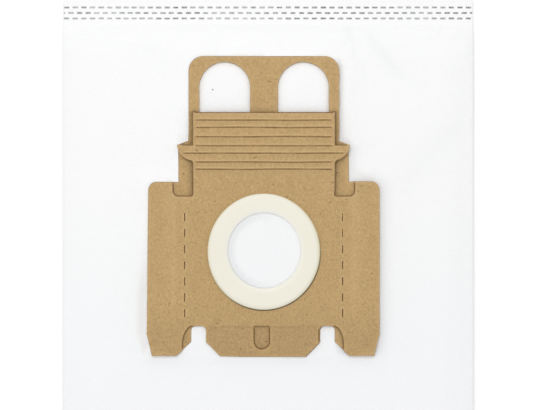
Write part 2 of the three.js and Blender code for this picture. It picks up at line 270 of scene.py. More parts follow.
# Where the collar is nudged: start and reach of each smooth rise
FLAP_ZONE = (30.0, 25.0)
FOOT_ZONE = (-14.0, 8.0)
TAB_ZONE = (10.0, 10.0)
GRIP_ZONE = 8.0
TONGUE_ZONE = (25.0, 8.0)
HEAD_ZONE = (-6.0, 4.0)

# Wavelength and seed of each kind of unevenness
COLLAR_RIPPLE = (42.0, 3.1)
SLACK_RIPPLE = (21.0, 8.0)
BAND_RIPPLE = (3.4, 14.0)
BACK_RIPPLE = (30.0, 19.0)
DASH_RIPPLE = (34.0, 27.0)
CUT_RIPPLE_LENGTH = 2.6
CREASE_WAVE_LENGTH = 26.0
CREASE_FADE_LENGTH = 9.0

# Lines that follow from the sizes above
FLAP_INNER = TAB_SIDE + NOTCH_WIDTH
NOTCH_TOP = NOTCH_DEPTH - COLLAR_FOOT
SCORE_FOOT = NOTCH_TOP - 0.4
NECK_TOP = COLLAR_HEAD + NECK_RISE
GRIP_TOP = NECK_TOP + GRIP_RISE
TONGUE_TOP = COLLAR_HEAD + TONGUE_RISE
WING_TOP = TONGUE_TOP - WING_DROP
SLOT_FLOOR = COLLAR_HEAD - SLOT_DEPTH
BAND_START = BAG_END - WELD_BAND


def smooth(t):
    """Smooth step of an array from 0 to 1."""
    t = np.clip(t, 0.0, 1.0)
    return t * t * (3.0 - 2.0 * t)


def ease(value, start, reach):
    """0 up to start, rising smoothly to 1 within reach."""
    return smooth((value - start) / reach)


def ripple(x, y, wavelength, seed):
    """Smooth noise of about -1 to 1 at each place, with humps about one wavelength across."""
    places = zip(np.atleast_1d(x) / wavelength, np.atleast_1d(y) / wavelength)
    return np.array([2.0 * noise.noise(Vector((a, b, seed))) for a, b in places])


def pairs(x, y):
    """Places as rows of x and y, from an array of one and an array or a number of the other."""
    return np.stack(np.broadcast_arrays(x, y), axis=1)


def add_object(name, data, place=(0.0, 0.0, 0.0)):
    """A new object in the scene."""
    thing = bpy.data.objects.new(name, data)
    thing.location = place
    bpy.context.scene.collection.objects.link(thing)
    return thing


class Trace:
    """A path of straight runs and curves, kept as points."""

    def __init__(self, x, y):
        self.points = [(x, y)]

    def line(self, x, y):
        start = self.points[-1]
        steps = max(1, math.ceil(math.dist(start, (x, y)) / OUTLINE_CELL))
        for step in range(1, steps + 1):
            t = step / steps
            self.points.append((start[0] + (x - start[0]) * t, start[1] + (y - start[1]) * t))

    def arc(self, x, y, reach_x, reach_y, start, end, steps=8):
        for step in range(steps + 1):
            angle = math.radians(start + (end - start) * step / steps)
            place = (x + reach_x * math.cos(angle), y + reach_y * math.sin(angle))
            if math.dist(place, self.points[-1]) > 0.05:
                self.points.append(place)

    def bend(self, through_x, through_y, x, y, steps=10):
        start = self.points[-1]
        for step in range(1, steps + 1):
            t = step / steps
            a, b, c = (1 - t) ** 2, 2 * t * (1 - t), t * t
            self.points.append((a * start[0] + b * through_x + c * x, a * start[1] + b * through_y + c * y))


def trace_tab(side):
    """The foot tab's half and the inner side of its notch."""
    path = Trace(0.0, -COLLAR_FOOT)
    path.line(side - NOTCH_FLARE_WIDTH, -COLLAR_FOOT)
    path.line(side, NOTCH_FLARE_RISE - COLLAR_FOOT)
    path.line(side, NOTCH_TOP - NOTCH_ROUND)
    path.arc(side + NOTCH_ROUND, NOTCH_TOP - NOTCH_ROUND, NOTCH_ROUND, NOTCH_ROUND, 180, 90)
    return path


def trace_flap_and_side(path):
    """The flap's foot, its chamfer, the side and the rounded head."""
    path.line(FLAP_INNER + NOTCH_FLARE_WIDTH, -COLLAR_FOOT)
    path.line(COLLAR_SIDE - FOOT_CHAMFER_WIDTH, -COLLAR_FOOT)
    path.line(COLLAR_SIDE, FOOT_CHAMFER_RISE - COLLAR_FOOT)
    path.line(COLLAR_SIDE, COLLAR_HEAD - HEAD_ROUND)
    path.arc(COLLAR_SIDE - HEAD_ROUND, COLLAR_HEAD - HEAD_ROUND, HEAD_ROUND, HEAD_ROUND, 0, 90)


def back_half():
    """Right half of the back layer's outline, from the foot up to the grip's top."""
    path = trace_tab(TAB_SIDE)
    path.line(FLAP_INNER - NOTCH_ROUND, NOTCH_TOP)
    path.arc(FLAP_INNER - NOTCH_ROUND, NOTCH_TOP - NOTCH_ROUND, NOTCH_ROUND, NOTCH_ROUND, 90, 0)
    path.line(FLAP_INNER, NOTCH_FLARE_RISE - COLLAR_FOOT)
    trace_flap_and_side(path)
    path.line(NECK_SIDE, COLLAR_HEAD)
    path.line(NECK_SIDE, NECK_TOP)
    path.line(GRIP_SIDE, NECK_TOP + GRIP_FLARE)
    path.line(GRIP_SIDE, GRIP_TOP - GRIP_ROUND)
    path.arc(GRIP_SIDE - GRIP_ROUND, GRIP_TOP - GRIP_ROUND, GRIP_ROUND, GRIP_ROUND, 0, 90)
    path.line(0.0, GRIP_TOP)
    return path.points


def front_half(tab_side):
    """Right half of the front layer's outline, from the foot up to the tongue's top."""
    path = trace_tab(tab_side)
    relief_side = FLAP_INNER + RELIEF_WIDTH
    relief_start = FLAP_INNER - RELIEF_REACH
    relief_end = NOTCH_TOP - RELIEF_DEPTH
    path.line(relief_start, NOTCH_TOP)
    path.arc(relief_start, relief_end, relief_side - relief_start, RELIEF_DEPTH, 90, 0, 14)
    flare_left = 1 - RELIEF_WIDTH / NOTCH_FLARE_WIDTH
    path.line(relief_side, NOTCH_FLARE_RISE * flare_left - COLLAR_FOOT)
    trace_flap_and_side(path)
    slot_side = TONGUE_SIDE + SLOT_WIDTH
    outer = SLOT_OUTER_ROUND
    inner = SLOT_INNER_ROUND
    path.line(slot_side, COLLAR_HEAD)
    path.line(slot_side, SLOT_FLOOR + outer)
    path.arc(slot_side - outer, SLOT_FLOOR + outer, outer, outer, 0, -90)
    path.line(TONGUE_SIDE + inner, SLOT_FLOOR)
    path.arc(TONGUE_SIDE + inner, SLOT_FLOOR + inner, inner, inner, -90, -180, 4)
    root = WING_TOP - WING_DEPTH
    path.line(TONGUE_SIDE, root)
    path.bend(TONGUE_SIDE, root + WING_KNEE_BEND, TONGUE_SIDE + WING_KNEE_OUT, root + WING_KNEE_UP)
    path.bend(TONGUE_SIDE + WING_BELLY_OUT, root + WING_BELLY_UP, WING_REACH, WING_TOP)
    path.line(TONGUE_SIDE, WING_TOP)
    path.line(TONGUE_SIDE, TONGUE_TOP + HINGE_NIB)
    path.line(TONGUE_SIDE - HINGE_STRIP, TONGUE_TOP + HINGE_NIB)
    path.line(TONGUE_SIDE - HINGE_STRIP, TONGUE_TOP)
    path.line(0.0, TONGUE_TOP)
    return path.points


def whole_loop(right, left):
    """A counter-clockwise loop from a right half and the half to be mirrored to the left."""
    mirrored = [(-x, y) for x, y in reversed(left)]
    return np.array(right + mirrored[1:-1])


def round_hole(radius, steps):
    """A clockwise circle about the inlet's centre."""
    angles = -np.arange(steps) * 2 * math.pi / steps
    return radius * pairs(np.cos(angles), np.sin(angles))


def arched_hole(x, width, base, tip):
    """A clockwise window with one straight end at base and one round end."""
    half = width / 2
    way = 1 if tip > base else -1
    centre = tip - way * half
    path = Trace(x - half, base)
    path.line(x - half, centre)
    path.arc(x, centre, half, way * half, 180, 0, 24)
    path.line(x + half, base)
    path.line(x - half, base)
    loop = np.array(path.points[:-1])
    return loop if way > 0 else loop[::-1]


def slit(x, y, width, length):
    """A clockwise slit with rounded ends, running along Y."""
    half = width / 2
    path = Trace(x - half, y - length / 2 + half)
    path.line(x - half, y + length / 2 - half)
    path.arc(x, y + length / 2 - half, half, half, 180, 0, 4)
    path.line(x + half, y - length / 2 + half)
    path.arc(x, y - length / 2 + half, half, half, 0, -180, 4)
    return np.array(path.points[:-1])


def inset(loop, distance):
    """Moves a closed loop's points toward the material, which lies on its left."""
    before = loop - np.roll(loop, 1, axis=0)
    after = np.roll(loop, -1, axis=0) - loop
    turned = []
    for run in (before, after):
        length = np.maximum(np.linalg.norm(run, axis=1), 1e-6)[:, None]
        turned.append(pairs(-run[:, 1], run[:, 0]) / length)
    share = np.maximum(1.0 + (turned[0] * turned[1]).sum(axis=1), 0.35)[:, None]
    return loop + (turned[0] + turned[1]) * distance / share


def inside(points, loop):
    """Whether each point lies inside the closed loop."""
    ends = np.roll(loop, -1, axis=0)
    rise = ends[:, 1] - loop[:, 1]
    rise = np.where(np.abs(rise) < 1e-9, 1e-9, rise)
    slope = (ends[:, 0] - loop[:, 0]) / rise
    y = points[:, 1][:, None]
    crosses = (loop[:, 1] > y) != (ends[:, 1] > y)
    at = loop[:, 0] + (y - loop[:, 1]) * slope
    return (crosses & (points[:, 0][:, None] < at)).sum(axis=1) % 2 == 1


def away_from(points, others, clearance):
    """The points that keep a clearance from all the others."""
    kept = []
    for start in range(0, len(points), CHUNK):
        part = points[start:start + CHUNK]
        gap = ((part[:, None, :] - others[None, :, :]) ** 2).sum(axis=2).min(axis=1)
        kept.append(part[gap > clearance ** 2])
    return np.concatenate(kept)


def staggered_grid(low, high, cell):
    """Points over a rectangle, every second row shifted by half a cell."""
    rows = np.arange(low[1] + cell / 2, high[1], cell * 0.87)
    columns = np.arange(low[0] + cell / 2, high[0], cell)
    return np.array([(x + (i % 2) * cell / 2, y) for i, y in enumerate(rows) for x in columns])


class Skin:
    """Collects one closed mesh: its points, the values marked on them, and its faces."""

    def __init__(self):
        self.points = []
        self.marks = {"shade": [], "cut": [], "dim": []}
        self.faces = []

    def add(self, flat, heights, marks=None):
        """Adds points and returns their numbers."""
        first = len(self.points)
        self.points.extend(zip(flat[:, 0], flat[:, 1], heights))
        for label, values in self.marks.items():
            values.extend(np.broadcast_to((marks or {}).get(label, 0.0), len(flat)))
        return np.arange(first, first + len(flat))

    def sheet(self, loops, fill, height, marks=None, lines=()):
        """A face inside the first loop and outside the others, and the numbers of the loops' points."""
        places, edges = [], []
        for loop in [*loops, *lines]:
            first, count = len(places), len(loop)
            places.extend(map(tuple, loop))
            edges.extend((first + i, first + (i + 1) % count) for i in range(count))
        places.extend(map(tuple, fill))
        made = delaunay_2d_cdt([Vector(p) for p in places], edges, [], 0, 1e-5, True)
        flat = np.array([tuple(p) for p in made[0]])
        faces = np.array(made[2])
        middles = flat[faces].mean(axis=1)
        kept = inside(middles, loops[0])
        for hole in loops[1:]:
            kept &= ~inside(middles, hole)
        numbers = self.add(flat, height(flat), marks(flat) if marks else None)
        self.faces.extend(tuple(numbers[face]) for face in faces[kept])
        standing = {source: numbers[number] for number, sources in enumerate(made[3]) for source in sources}
        found, first = [], 0
        for loop in loops:
            found.append(np.array([standing[first + i] for i in range(len(loop))]))
            first += len(loop)
        return found

    def rim(self, first, second):
        """Faces between two closed loops with the same number of points."""
        ahead = np.roll(first, -1)
        across = np.roll(second, -1)
        self.faces.extend(zip(first, ahead, across, second))

    def build(self, name):
        """The mesh object, smooth but for its sharp angles."""
        mesh = bpy.data.meshes.new(name)
        mesh.from_pydata([tuple(c * MM for c in p) for p in self.points], [], self.faces)
        for label, values in self.marks.items():
            layer = mesh.attributes.new(label, "FLOAT", "POINT")
            layer.data.foreach_set("value", np.array(values, dtype=np.float32))
        body = bmesh.new()
        body.from_mesh(mesh)
        loose = [v for v in body.verts if not v.link_faces]
        bmesh.ops.delete(body, geom=loose, context="VERTS")
        bmesh.ops.recalc_face_normals(body, faces=body.faces)
        body.to_mesh(mesh)
        body.free()
        mesh.polygons.foreach_set("use_smooth", [True] * len(mesh.polygons))
        mesh.set_sharp_from_angle(angle=math.radians(SHARP_ANGLE))
        return add_object(name, mesh)


def collar_warp(flat):
    """The slight unevenness that the whole collar shares."""
    return COLLAR_WARP * ripple(*flat.T, *COLLAR_RIPPLE)


# Creases of the tongue

def crease_list():
    """Height, half length, depth and seed of each crease."""
    creases = []
    y = TONGUE_TOP
    for number, step in enumerate(CREASE_STEPS):
        y -= step
        reach = TONGUE_SIDE - HINGE_STRIP
        if number == LONG_CREASE:
            reach = WING_REACH - LONG_CREASE_INSET
        creases.append((y, reach, CREASE_DEPTH * random.uniform(0.82, 1.1), 11.0 + number))
    return creases


CREASES = crease_list()


def crease_line(x, crease):
    """Height of a crease's middle at each x: it wanders a little."""
    return crease[0] + CREASE_WAVE * ripple(x, x * 0, CREASE_WAVE_LENGTH, crease[3])


def crease_profile(flat):
    """How deep each place lies, its painted shade in the groove and the painted highlight on its upper lip,
    from the creases near it.
    """
    depth = np.zeros(len(flat))
    dark = np.zeros(len(flat))
    pale = np.zeros(len(flat))
    for crease in CREASES:
        near = np.abs(flat[:, 1] - crease[0]) < 3.0
        x = flat[near, 0]
        away = flat[near, 1] - crease_line(x, crease)
        ends = smooth((crease[1] + 0.2 - np.abs(x)) / 0.6)
        strength = ends * (1.0 + 0.22 * ripple(x, x * 0, CREASE_FADE_LENGTH, crease[3] + 5.0))
        groove = np.exp(-(away / CREASE_HALF_WIDTH) ** 4)
        lip = np.exp(-((np.abs(away) - CREASE_LIP_AT) / 0.3) ** 2)
        depth[near] += strength * (CREASE_LIP * lip - crease[2] * groove)
        dark[near] += CREASE_SHADE * strength * np.exp(-(away / (CREASE_HALF_WIDTH * 1.25)) ** 4)
        pale[near] += strength * np.exp(-((away - CREASE_LIP_AT) / 0.3) ** 2)
    return depth, np.clip(dark, 0.0, 1.0), pale


def score_profile(flat):
    """The shallow folding lines of the sides and of the foot tab, with painted shade along the foot tab's
    line.
    """
    x, y = np.abs(flat[:, 0]), flat[:, 1]
    side = np.exp(-((x - SCORE_SIDE) / SCORE_HALF_WIDTH) ** 2) * (y < SLOT_FLOOR - 1.0)
    foot = np.exp(-((y - SCORE_FOOT) / SCORE_HALF_WIDTH * 2.2) ** 2)
    foot *= (x < TAB_SIDE + 1.5) * (np.abs(flat[:, 0] - FOOT_WINDOW_SHIFT) > FOOT_WINDOW_WIDTH / 2)
    return -SCORE_DEPTH * np.maximum(side, foot), SCORE_SHADE * foot


def tongue_lift(flat):
    """The tongue springs up between the head slots and comes down again toward its free edge."""
    x, y = flat.T
    share = np.clip((y - SLOT_FLOOR) / (TONGUE_TOP - SLOT_FLOOR), 0.0, 1.05)
    apart = (np.abs(x) < TONGUE_SIDE + SLOT_WIDTH / 2) | (y > COLLAR_HEAD + 2.0)
    return TONGUE_LIFT * (1.0 - (1.0 - share) ** 2) * (1.0 - TONGUE_SINK * share ** 4) * apart


def board_tone_and_shade(flat):
    """The board's tone and painted shade: darker as it rises from 0, paler below 0. It is painted shade below
    the foot tab's fold, darker toward the bottom, and paler along the side folding lines.
    """
    x, y = np.abs(flat[:, 0]), flat[:, 1]
    tab = smooth((SCORE_FOOT + 0.15 - y) / 0.4) * (x < TAB_SIDE + 1.5)
    flaps = 0.6 * smooth((NOTCH_TOP + 16.0 - y) / 24.0)
    streak = 0.45 * np.exp(-((x - SCORE_SIDE) / 0.9) ** 2)
    streak += 0.25 * np.exp(-((x - SCORE_SIDE - 2.0) / 3.5) ** 2)
    streak *= (y < SLOT_FLOOR + 4.0) * smooth((y - NOTCH_TOP) / 14.0)
    return 0.5 * np.maximum(tab, flaps) - streak


def back_tone_and_shade(flat):
    """The back layer's tone and painted shade: the painted shade is darkest close beside the raised tongue.
    """
    x, y = np.abs(flat[:, 0]), flat[:, 1]
    beside = smooth(1.0 - (x - TONGUE_SIDE) / 3.2) * (y > SLOT_FLOOR - 1.0) * (y < TONGUE_TOP + 0.8)
    return np.maximum(board_tone_and_shade(flat), beside)


def crease_points():
    """Rows of points that follow each crease closely enough to show its groove and lips."""
    rows = []
    for crease in CREASES:
        x = np.arange(-crease[1] - 0.6, crease[1] + 0.7, 0.75)
        line = crease_line(x, crease)
        rows.extend(pairs(x, line + away) for away in CREASE_ROWS)
    return np.concatenate(rows)


def score_points():
    """Rows of points along the folding lines."""
    rows = []
    y = np.arange(-COLLAR_FOOT + 1.0, SLOT_FLOOR - 0.8, 1.6)
    x = np.arange(-TAB_SIDE, TAB_SIDE, 1.6)
    for away in SCORE_ROWS:
        rows.extend(pairs(side + away, y) for side in (SCORE_SIDE, -SCORE_SIDE))
    rows.extend(pairs(x, SCORE_FOOT + away) for away in FOOT_SCORE_ROWS)
    return np.concatenate(rows)


def ragged(loop, seed):
    """A die-cut edge wanders a little from its line."""
    wander = CUT_RAGGED * ripple(*loop.T, CUT_RIPPLE_LENGTH, seed)
    return inset(loop, wander[:, None])


def nudged(loop, grip_shift=0.0, tongue_shift=0.0):
    """A loop of the collar as it lies: grip, tongue and flaps lean a little, and the foot tab hangs low."""
    x, y = loop.T
    flap = ease(-x, *FLAP_ZONE) * smooth((COLLAR_HEAD + 2.0 - y) / 4.0)
    foot = ease(-y - COLLAR_FOOT, *FOOT_ZONE)
    tab = smooth((TAB_SIDE + 1.0 - np.abs(x)) / 2.0) * (1.0 - ease(-x, *TAB_ZONE))
    notch = smooth((x - FLAP_INNER + 3.5) / 2.0) * smooth((FLAP_INNER + 9.0 - x) / 3.0)
    notch *= y < NOTCH_TOP + 0.5
    tongue = ease(x, *TONGUE_ZONE) * (x < TONGUE_SIDE + 1.0) * smooth((y - SLOT_FLOOR) / 3.0)
    head = ease(x, NECK_SIDE, 4.0) * ease(y - COLLAR_HEAD, *HEAD_ZONE) * (y < COLLAR_HEAD + 0.5)
    across = FLAP_LEAN * y * flap + grip_shift * ease(y, NECK_TOP, GRIP_ZONE)
    across += tongue_shift * tongue - NOTCH_SHIFT * notch
    up = HEAD_LIFT * head - FOOT_SAG * foot * (tab - 0.6 * smooth((np.abs(x) - FLAP_INNER) / 2.0))
    return loop + pairs(across, up)


def back_loops():
    """The back layer's outline, its bore and its two finger windows."""
    half = back_half()
    base, tip = TONGUE_TOP - WINDOW_TUCK, GRIP_TOP - WINDOW_MARGIN
    windows = [arched_hole(hand * WINDOW_SPACING / 2, WINDOW_WIDTH, base, tip) for hand in (-1, 1)]
    outline, *windows = [nudged(loop, GRIP_SHIFT) for loop in (whole_loop(half, half), *windows)]
    return [outline, round_hole(CARD_BORE, 140), *windows]


BACK_LOOPS = back_loops()


def over_back(flat):
    """1 where a place lies over the back layer's card, otherwise 0."""
    over = inside(flat, BACK_LOOPS[0])
    for hole in BACK_LOOPS[1:]:
        over &= ~inside(flat, hole)
    return over.astype(float)


def make_board(name, loops, crevices, base, relief, lift, fill, seed):
    """One die-cut card in place on the bag. Its crushed cut edges flare toward its back, most at crevices,
    where they also get painted shade.
    """
    skin = Skin()
    loops = [ragged(loop, seed) for loop in loops]
    flares = [(EDGE_FLARE + (CREVICE_FLARE - EDGE_FLARE) * crevice)[:, None] for crevice in crevices]
    contours = [inset(loop, flare + CUT_ROUND) for loop, flare in zip(loops, flares)]
    undersides = [inset(loop, CUT_ROUND) for loop in loops]
    rough = np.concatenate(contours)
    low, high = rough.min(axis=0), rough.max(axis=0)
    grid = staggered_grid(low, high, CARD_CELL)
    if len(fill):
        fill = away_from(fill, rough, 0.35)
        grid = away_from(grid, fill, 1.0)
        fill = np.concatenate([fill, away_from(grid, rough, 0.8)])
    else:
        fill = away_from(grid, rough, 0.8)

    def top(flat):
        return base + CARD + collar_warp(flat) + lift(flat) + relief(flat)[0]

    def under(flat):
        return base + collar_warp(flat) + lift(flat)

    upper = skin.sheet(contours, fill, top, lambda flat: relief(flat)[1])
    lower = skin.sheet(undersides, away_from(grid, rough, 0.8), under)
    for loop, flare, crevice, above, below in zip(loops, flares, crevices, upper, lower):
        # Painted highlight: the top face's edge points are made paler
        for number in above:
            skin.marks["dim"][number] -= EDGE_HIGHLIGHT
        last = above
        for share, depth in ((0.85, 0.1), (0.4, 0.35), (0.0, 0.75), (0.0, CARD - CUT_ROUND)):
            ring = inset(loop, flare * share)
            # Painted shade on the cut faces at crevices
            marks = {"cut": 1.0, "shade": crevice * (1.0 - 0.5 * share)}
            numbers = skin.add(ring, top(ring) - depth, marks)
            skin.rim(last, numbers)
            last = numbers
        skin.rim(last, below)
    skin.points = [(x + INLET[0], y + INLET[1], z) for x, y, z in skin.points]
    return skin.build(name)


def make_back_board():
    """The lower card, with rows of points that carry the shade beside the raised tongue."""
    level = lambda flat: np.zeros(len(flat))
    plain = lambda flat: (level(flat), {"dim": back_tone_and_shade(flat)})
    crevices = [level(loop) for loop in BACK_LOOPS]
    run = np.arange(SLOT_FLOOR - 2.0, TONGUE_TOP + 2.0, 0.9)
    fill = np.concatenate([
        pairs(hand * (TONGUE_SIDE + off), run) for hand in (-1, 1) for off in TONGUE_SHADE_ROWS
    ])
    return make_board("collar_back", BACK_LOOPS, crevices, back_low[2], plain, level, fill, 21.0)


def make_front_board():
    """The upper card, with its creases, folding lines, foot window and perforations."""
    outline = whole_loop(front_half(TAB_SIDE + FRONT_TAB_SHIFT), front_half(TAB_SIDE - FRONT_TAB_SHIFT))
    outline = nudged(outline, tongue_shift=TONGUE_SHIFT)
    window = arched_hole(FOOT_WINDOW_SHIFT, FOOT_WINDOW_WIDTH, NOTCH_TOP, NOTCH_TOP - FOOT_WINDOW_LENGTH)
    slits = []
    for hand in (-1, 1):
        for number in range(PERFORATION_COUNT):
            y = PERFORATION_TOP - PERFORATION_LENGTH / 2 - number * PERFORATION_PITCH
            closed = 0.6 if hand > 0 and number < 2 else 1.0
            width = PERFORATION_WIDTH * closed * random.uniform(0.8, 1.1)
            slits.append(slit(hand * PERFORATION_SIDE, y, width, PERFORATION_LENGTH))
    loops = [outline, round_hole(CARD_BORE, 140), window]
    # Crevices, where the cut edge stands over the back layer and along the tongue's top, less at the wings'
    # bellies and at the foot window's top: they set the flare and the painted shade
    crevices = [over_back(inset(loop, -CREVICE_PROBE)) for loop in loops]
    x, y = outline.T
    crevices[0] = np.maximum(crevices[0], (y > TONGUE_TOP - 1.0) & (np.abs(x) < TONGUE_SIDE - 1.0))
    belly = (np.abs(x) > TONGUE_SIDE + 0.8) & (y > WING_TOP - WING_DEPTH) & (y < WING_TOP - 0.5)
    crevices[0] = crevices[0] * np.where(belly, np.where(x < 0.0, *BELLY_CREVICE), 1.0)
    crevices[2] = crevices[2] * np.where(window[:, 1] > NOTCH_TOP - 0.3, 0.1, 1.0)
    crevices += [np.zeros(len(loop)) for loop in slits]

    def relief(flat):
        depth, dark, pale = crease_profile(flat)
        score, line = score_profile(flat)
        return depth + score, {"shade": np.maximum(dark, line), "dim": board_tone_and_shade(flat) - CREASE_LIP_HIGHLIGHT * pale}

    fill = np.concatenate([crease_points(), score_points()])
    return make_board("collar_front", loops + slits, crevices, front_low[2], relief, tongue_lift, fill, 34.0)


def make_ring():
    """The rubber ring: rounded, pressed a little out of round, with a thin near-black bead at its foot toward
    the lower right, a painted shadow.
    """
    low, top = ring_low[2], ring_high[2]
    # Radius, height, and how much of the flank's painted shade, of the painted shadow at the foot and of the
    # painted highlight on the bore's lip
    section = [(RING_BORE, low, 0.0, 0.0, 1.0), (RING_BORE, top - RING_BORE_DROP, 0.0, 0.0, 1.0)]
    for step in range(1, RING_LIP_STEPS + 1):
        a = math.radians(180 - 90 * step / RING_LIP_STEPS)
        reach, rise = RING_BORE_REACH * (1.0 + math.cos(a)), RING_BORE_DROP * (math.sin(a) - 1.0)
        section.append((RING_BORE + reach, top + rise, 0.0, 0.0, 1.0 - reach / RING_BORE_REACH))
    for step in range(RING_FLANK_STEPS + 1):
        down = step / RING_FLANK_STEPS
        a = math.radians(90 - 90 * down)
        reach, drop = RING_OUTER_ROUND * (math.cos(a) - 1.0), RING_OUTER_DROP * (math.sin(a) - 1.0)
        section.append((RING_OUTER + reach, top + drop, down, 0.0, 0.0))
    for out, up, foot in FOOT_SHADOW_SECTION:
        section.append((RING_OUTER + out * FOOT_SHADOW_WIDTH, low + up, 1.0, foot, 0.0))
    skin = Skin()
    angles = np.arange(RING_STEPS) * 2 * math.pi / RING_STEPS
    unit = pairs(np.cos(angles), np.sin(angles))
    shadow_share = ease(unit @ np.array(FOOT_SHADOW_TURN), *FOOT_SHADOW_ZONE)
    left, right = np.maximum(-unit[:, 0], 0.0) ** 1.5, np.maximum(unit[:, 0], 0.0) ** 1.5
    upper = 0.4 + 0.6 * smooth(0.4 + 0.6 * unit[:, 1])
    squeezes, shifts = np.array(RING_SQUEEZE), np.array(RING_SHIFT)
    loops = []
    for radius, z, side, foot, pale in section:
        share = (radius - RING_BORE) / (RING_OUTER - RING_BORE)
        squeeze = squeezes[0] * (1.0 - share) + squeezes[1] * share
        shift = shifts[0] * (1.0 - share) + shifts[1] * share
        bead = np.maximum(radius - RING_OUTER, 0.0) * (1.0 - shadow_share)
        flat = unit * (radius - bead)[:, None] * squeeze + shift
        # Painted light on the ring: the cut mark carries the flank's painted shade, the shade mark the
        # painted shadow at the foot, and the dim mark the painted highlight on the bore's lip, strongest at
        # the top
        flank_shade = (FLANK_SHADE_AMOUNT[0] + FLANK_SHADE_AMOUNT[1] * left) * side ** 3 + FLANK_SHADE_AMOUNT[2] * right * side ** 1.5
        marks = {"cut": flank_shade, "shade": foot * shadow_share, "dim": pale * upper}
        loops.append(skin.add(flat + INLET, z + 0.5 * collar_warp(flat), marks))
    for first, second in zip(loops, loops[1:] + loops[:1]):
        skin.rim(first, second)
    return skin.build("inlet_ring")


# Fleece bag

def dash_list(end):
    """The pressed dashes of one welded end: middle, half sizes, depth and shade of each."""
    pitch = 2 * BAG_SIDE / WELD_COLUMNS
    places, drifts = zip(*DASH_DRIFT)
    dashes = []
    for row in range(WELD_ROWS):
        shifted = row % 2 == 1
        count = WELD_COLUMNS + 1 if shifted else WELD_COLUMNS
        y = end * (BAG_END - FIRST_ROW_INSET - row * WELD_ROW_PITCH)
        for column in range(count):
            x = (column - (count - 1) / 2) * pitch
            x -= float(np.interp(x, places, drifts))
            lean = np.clip((x - DASH_TONE_MIDDLE) / DASH_TONE_REACH, -1.0, 1.0)
            tone = 1.0 + DASH_TONE_LEAN * lean + DASH_TONE_WAVE * ripple(x, y, *DASH_RIPPLE)[0]
            dashes.append((
                x + random.uniform(-0.07, 0.07),
                y + random.uniform(-0.05, 0.05),
                DASH_LENGTH / 2 * random.uniform(0.94, 1.05),
                DASH_WIDTH / 2 * random.uniform(0.9, 1.1),
                DASH_DEPTH * random.uniform(0.85, 1.05),
                DASH_TONES[row] * random.uniform(0.8, 1.1) * tone,
            ))
    return np.array(dashes)


def lap_dash_list():
    """The dashes of the lap seam, along Y on the back."""
    count = int((2 * BAG_END - 2 * WELD_BAND) / LAP_DASH_PITCH)
    dashes = []
    for row in (-0.5, 0.5):
        for number in range(count):
            y = (number - (count - 1) / 2) * LAP_DASH_PITCH
            dashes.append((
                row * LAP_ROW_PITCH + random.uniform(-0.07, 0.07),
                y + random.uniform(-0.1, 0.1),
                DASH_WIDTH / 2,
                DASH_LENGTH / 2,
                LAP_DASH_DEPTH,
                random.uniform(0.6, 0.9),
            ))
    return np.array(dashes)


TOP_DASHES = [dash_list(1), dash_list(-1)]
LAP_DASHES = lap_dash_list()


def dash_profile(flat, dashes):
    """How deep and how marked each place is from the dashes near it."""
    depth = np.zeros(len(flat))
    shade = np.zeros(len(flat))
    for start in range(0, len(flat), 1500):
        part = slice(start, start + 1500)
        x = flat[part, 0][:, None]
        y = flat[part, 1][:, None]
        out_x = np.maximum(np.abs(x - dashes[:, 0]) - dashes[:, 2] + DASH_RIM * 0.6, 0.0)
        out_y = np.maximum(np.abs(y - dashes[:, 1]) - dashes[:, 3] + DASH_RIM * 0.6, 0.0)
        away = np.hypot(out_x, out_y)
        press = 1.0 - smooth(away / DASH_RIM)
        depth[part] = (press * dashes[:, 4]).max(axis=1)
        shade[part] = (smooth(press * 1.3 - 0.15) * dashes[:, 5]).max(axis=1)
    return depth, shade


def rounded_box(x, y, half_x, half_y, corner, turns):
    """Points of a counter-clockwise rounded rectangle about a place, at these turns of each corner."""
    points = []
    for way_x, way_y, start in ((1, 1, 0), (-1, 1, 90), (-1, -1, 180), (1, -1, 270)):
        for turn in turns:
            a = math.radians(start + turn)
            points.append((
                x + way_x * (half_x - corner) + corner * math.cos(a),
                y + way_y * (half_y - corner) + corner * math.sin(a),
            ))
    return np.array(points)


def dash_loops(dashes, limit):
    """Closed lines round each dash's rim and floor, cut off at the side of the sheet."""
    loops = []
    for x, y, long, wide, _, _ in dashes:
        for grow in (DASH_RIM * 0.55, -DASH_RIM * 0.55):
            loop = rounded_box(x, y, long + grow, wide + grow, min(long, wide) * 0.75, (0, 45, 90))
            if abs(x) < limit or abs(x) - long - grow < limit - 0.3:
                loop[:, 0] = np.clip(loop[:, 0], -limit, limit)
                loops.append(loop)
    return loops


def swell(distance, shoulder):
    """0 at a held edge, rising to 1 one shoulder away from it."""
    reach = np.clip(distance / shoulder, 0.0, 1.0)
    return 1.0 - (1.0 - reach) ** SHOULDER_POWER


def plain_height(flat):
    """The front sheet's height as it swells from the welds and side folds."""
    x, y = np.abs(flat.T)
    ends = swell(BAND_START - y, END_SHOULDER)
    low = WELD_THICKNESS + (FOLD_THICKNESS - WELD_THICKNESS) * ends
    return low + (BAG_HEIGHT - low) * ends * swell(BAG_SIDE - x, SIDE_SHOULDER)


def under_collar(flat):
    """1 under the collar, falling to 0 a little beyond it."""
    x, y = np.abs(flat[:, 0] - INLET[0]), flat[:, 1] - INLET[1]
    body = np.minimum(COLLAR_SIDE - x, np.minimum(COLLAR_HEAD - y, y + COLLAR_FOOT))
    neck = np.minimum(NECK_SIDE - x, np.minimum(GRIP_TOP - y, y))
    return smooth((np.maximum(body, neck) + 5.0) / 6.0)


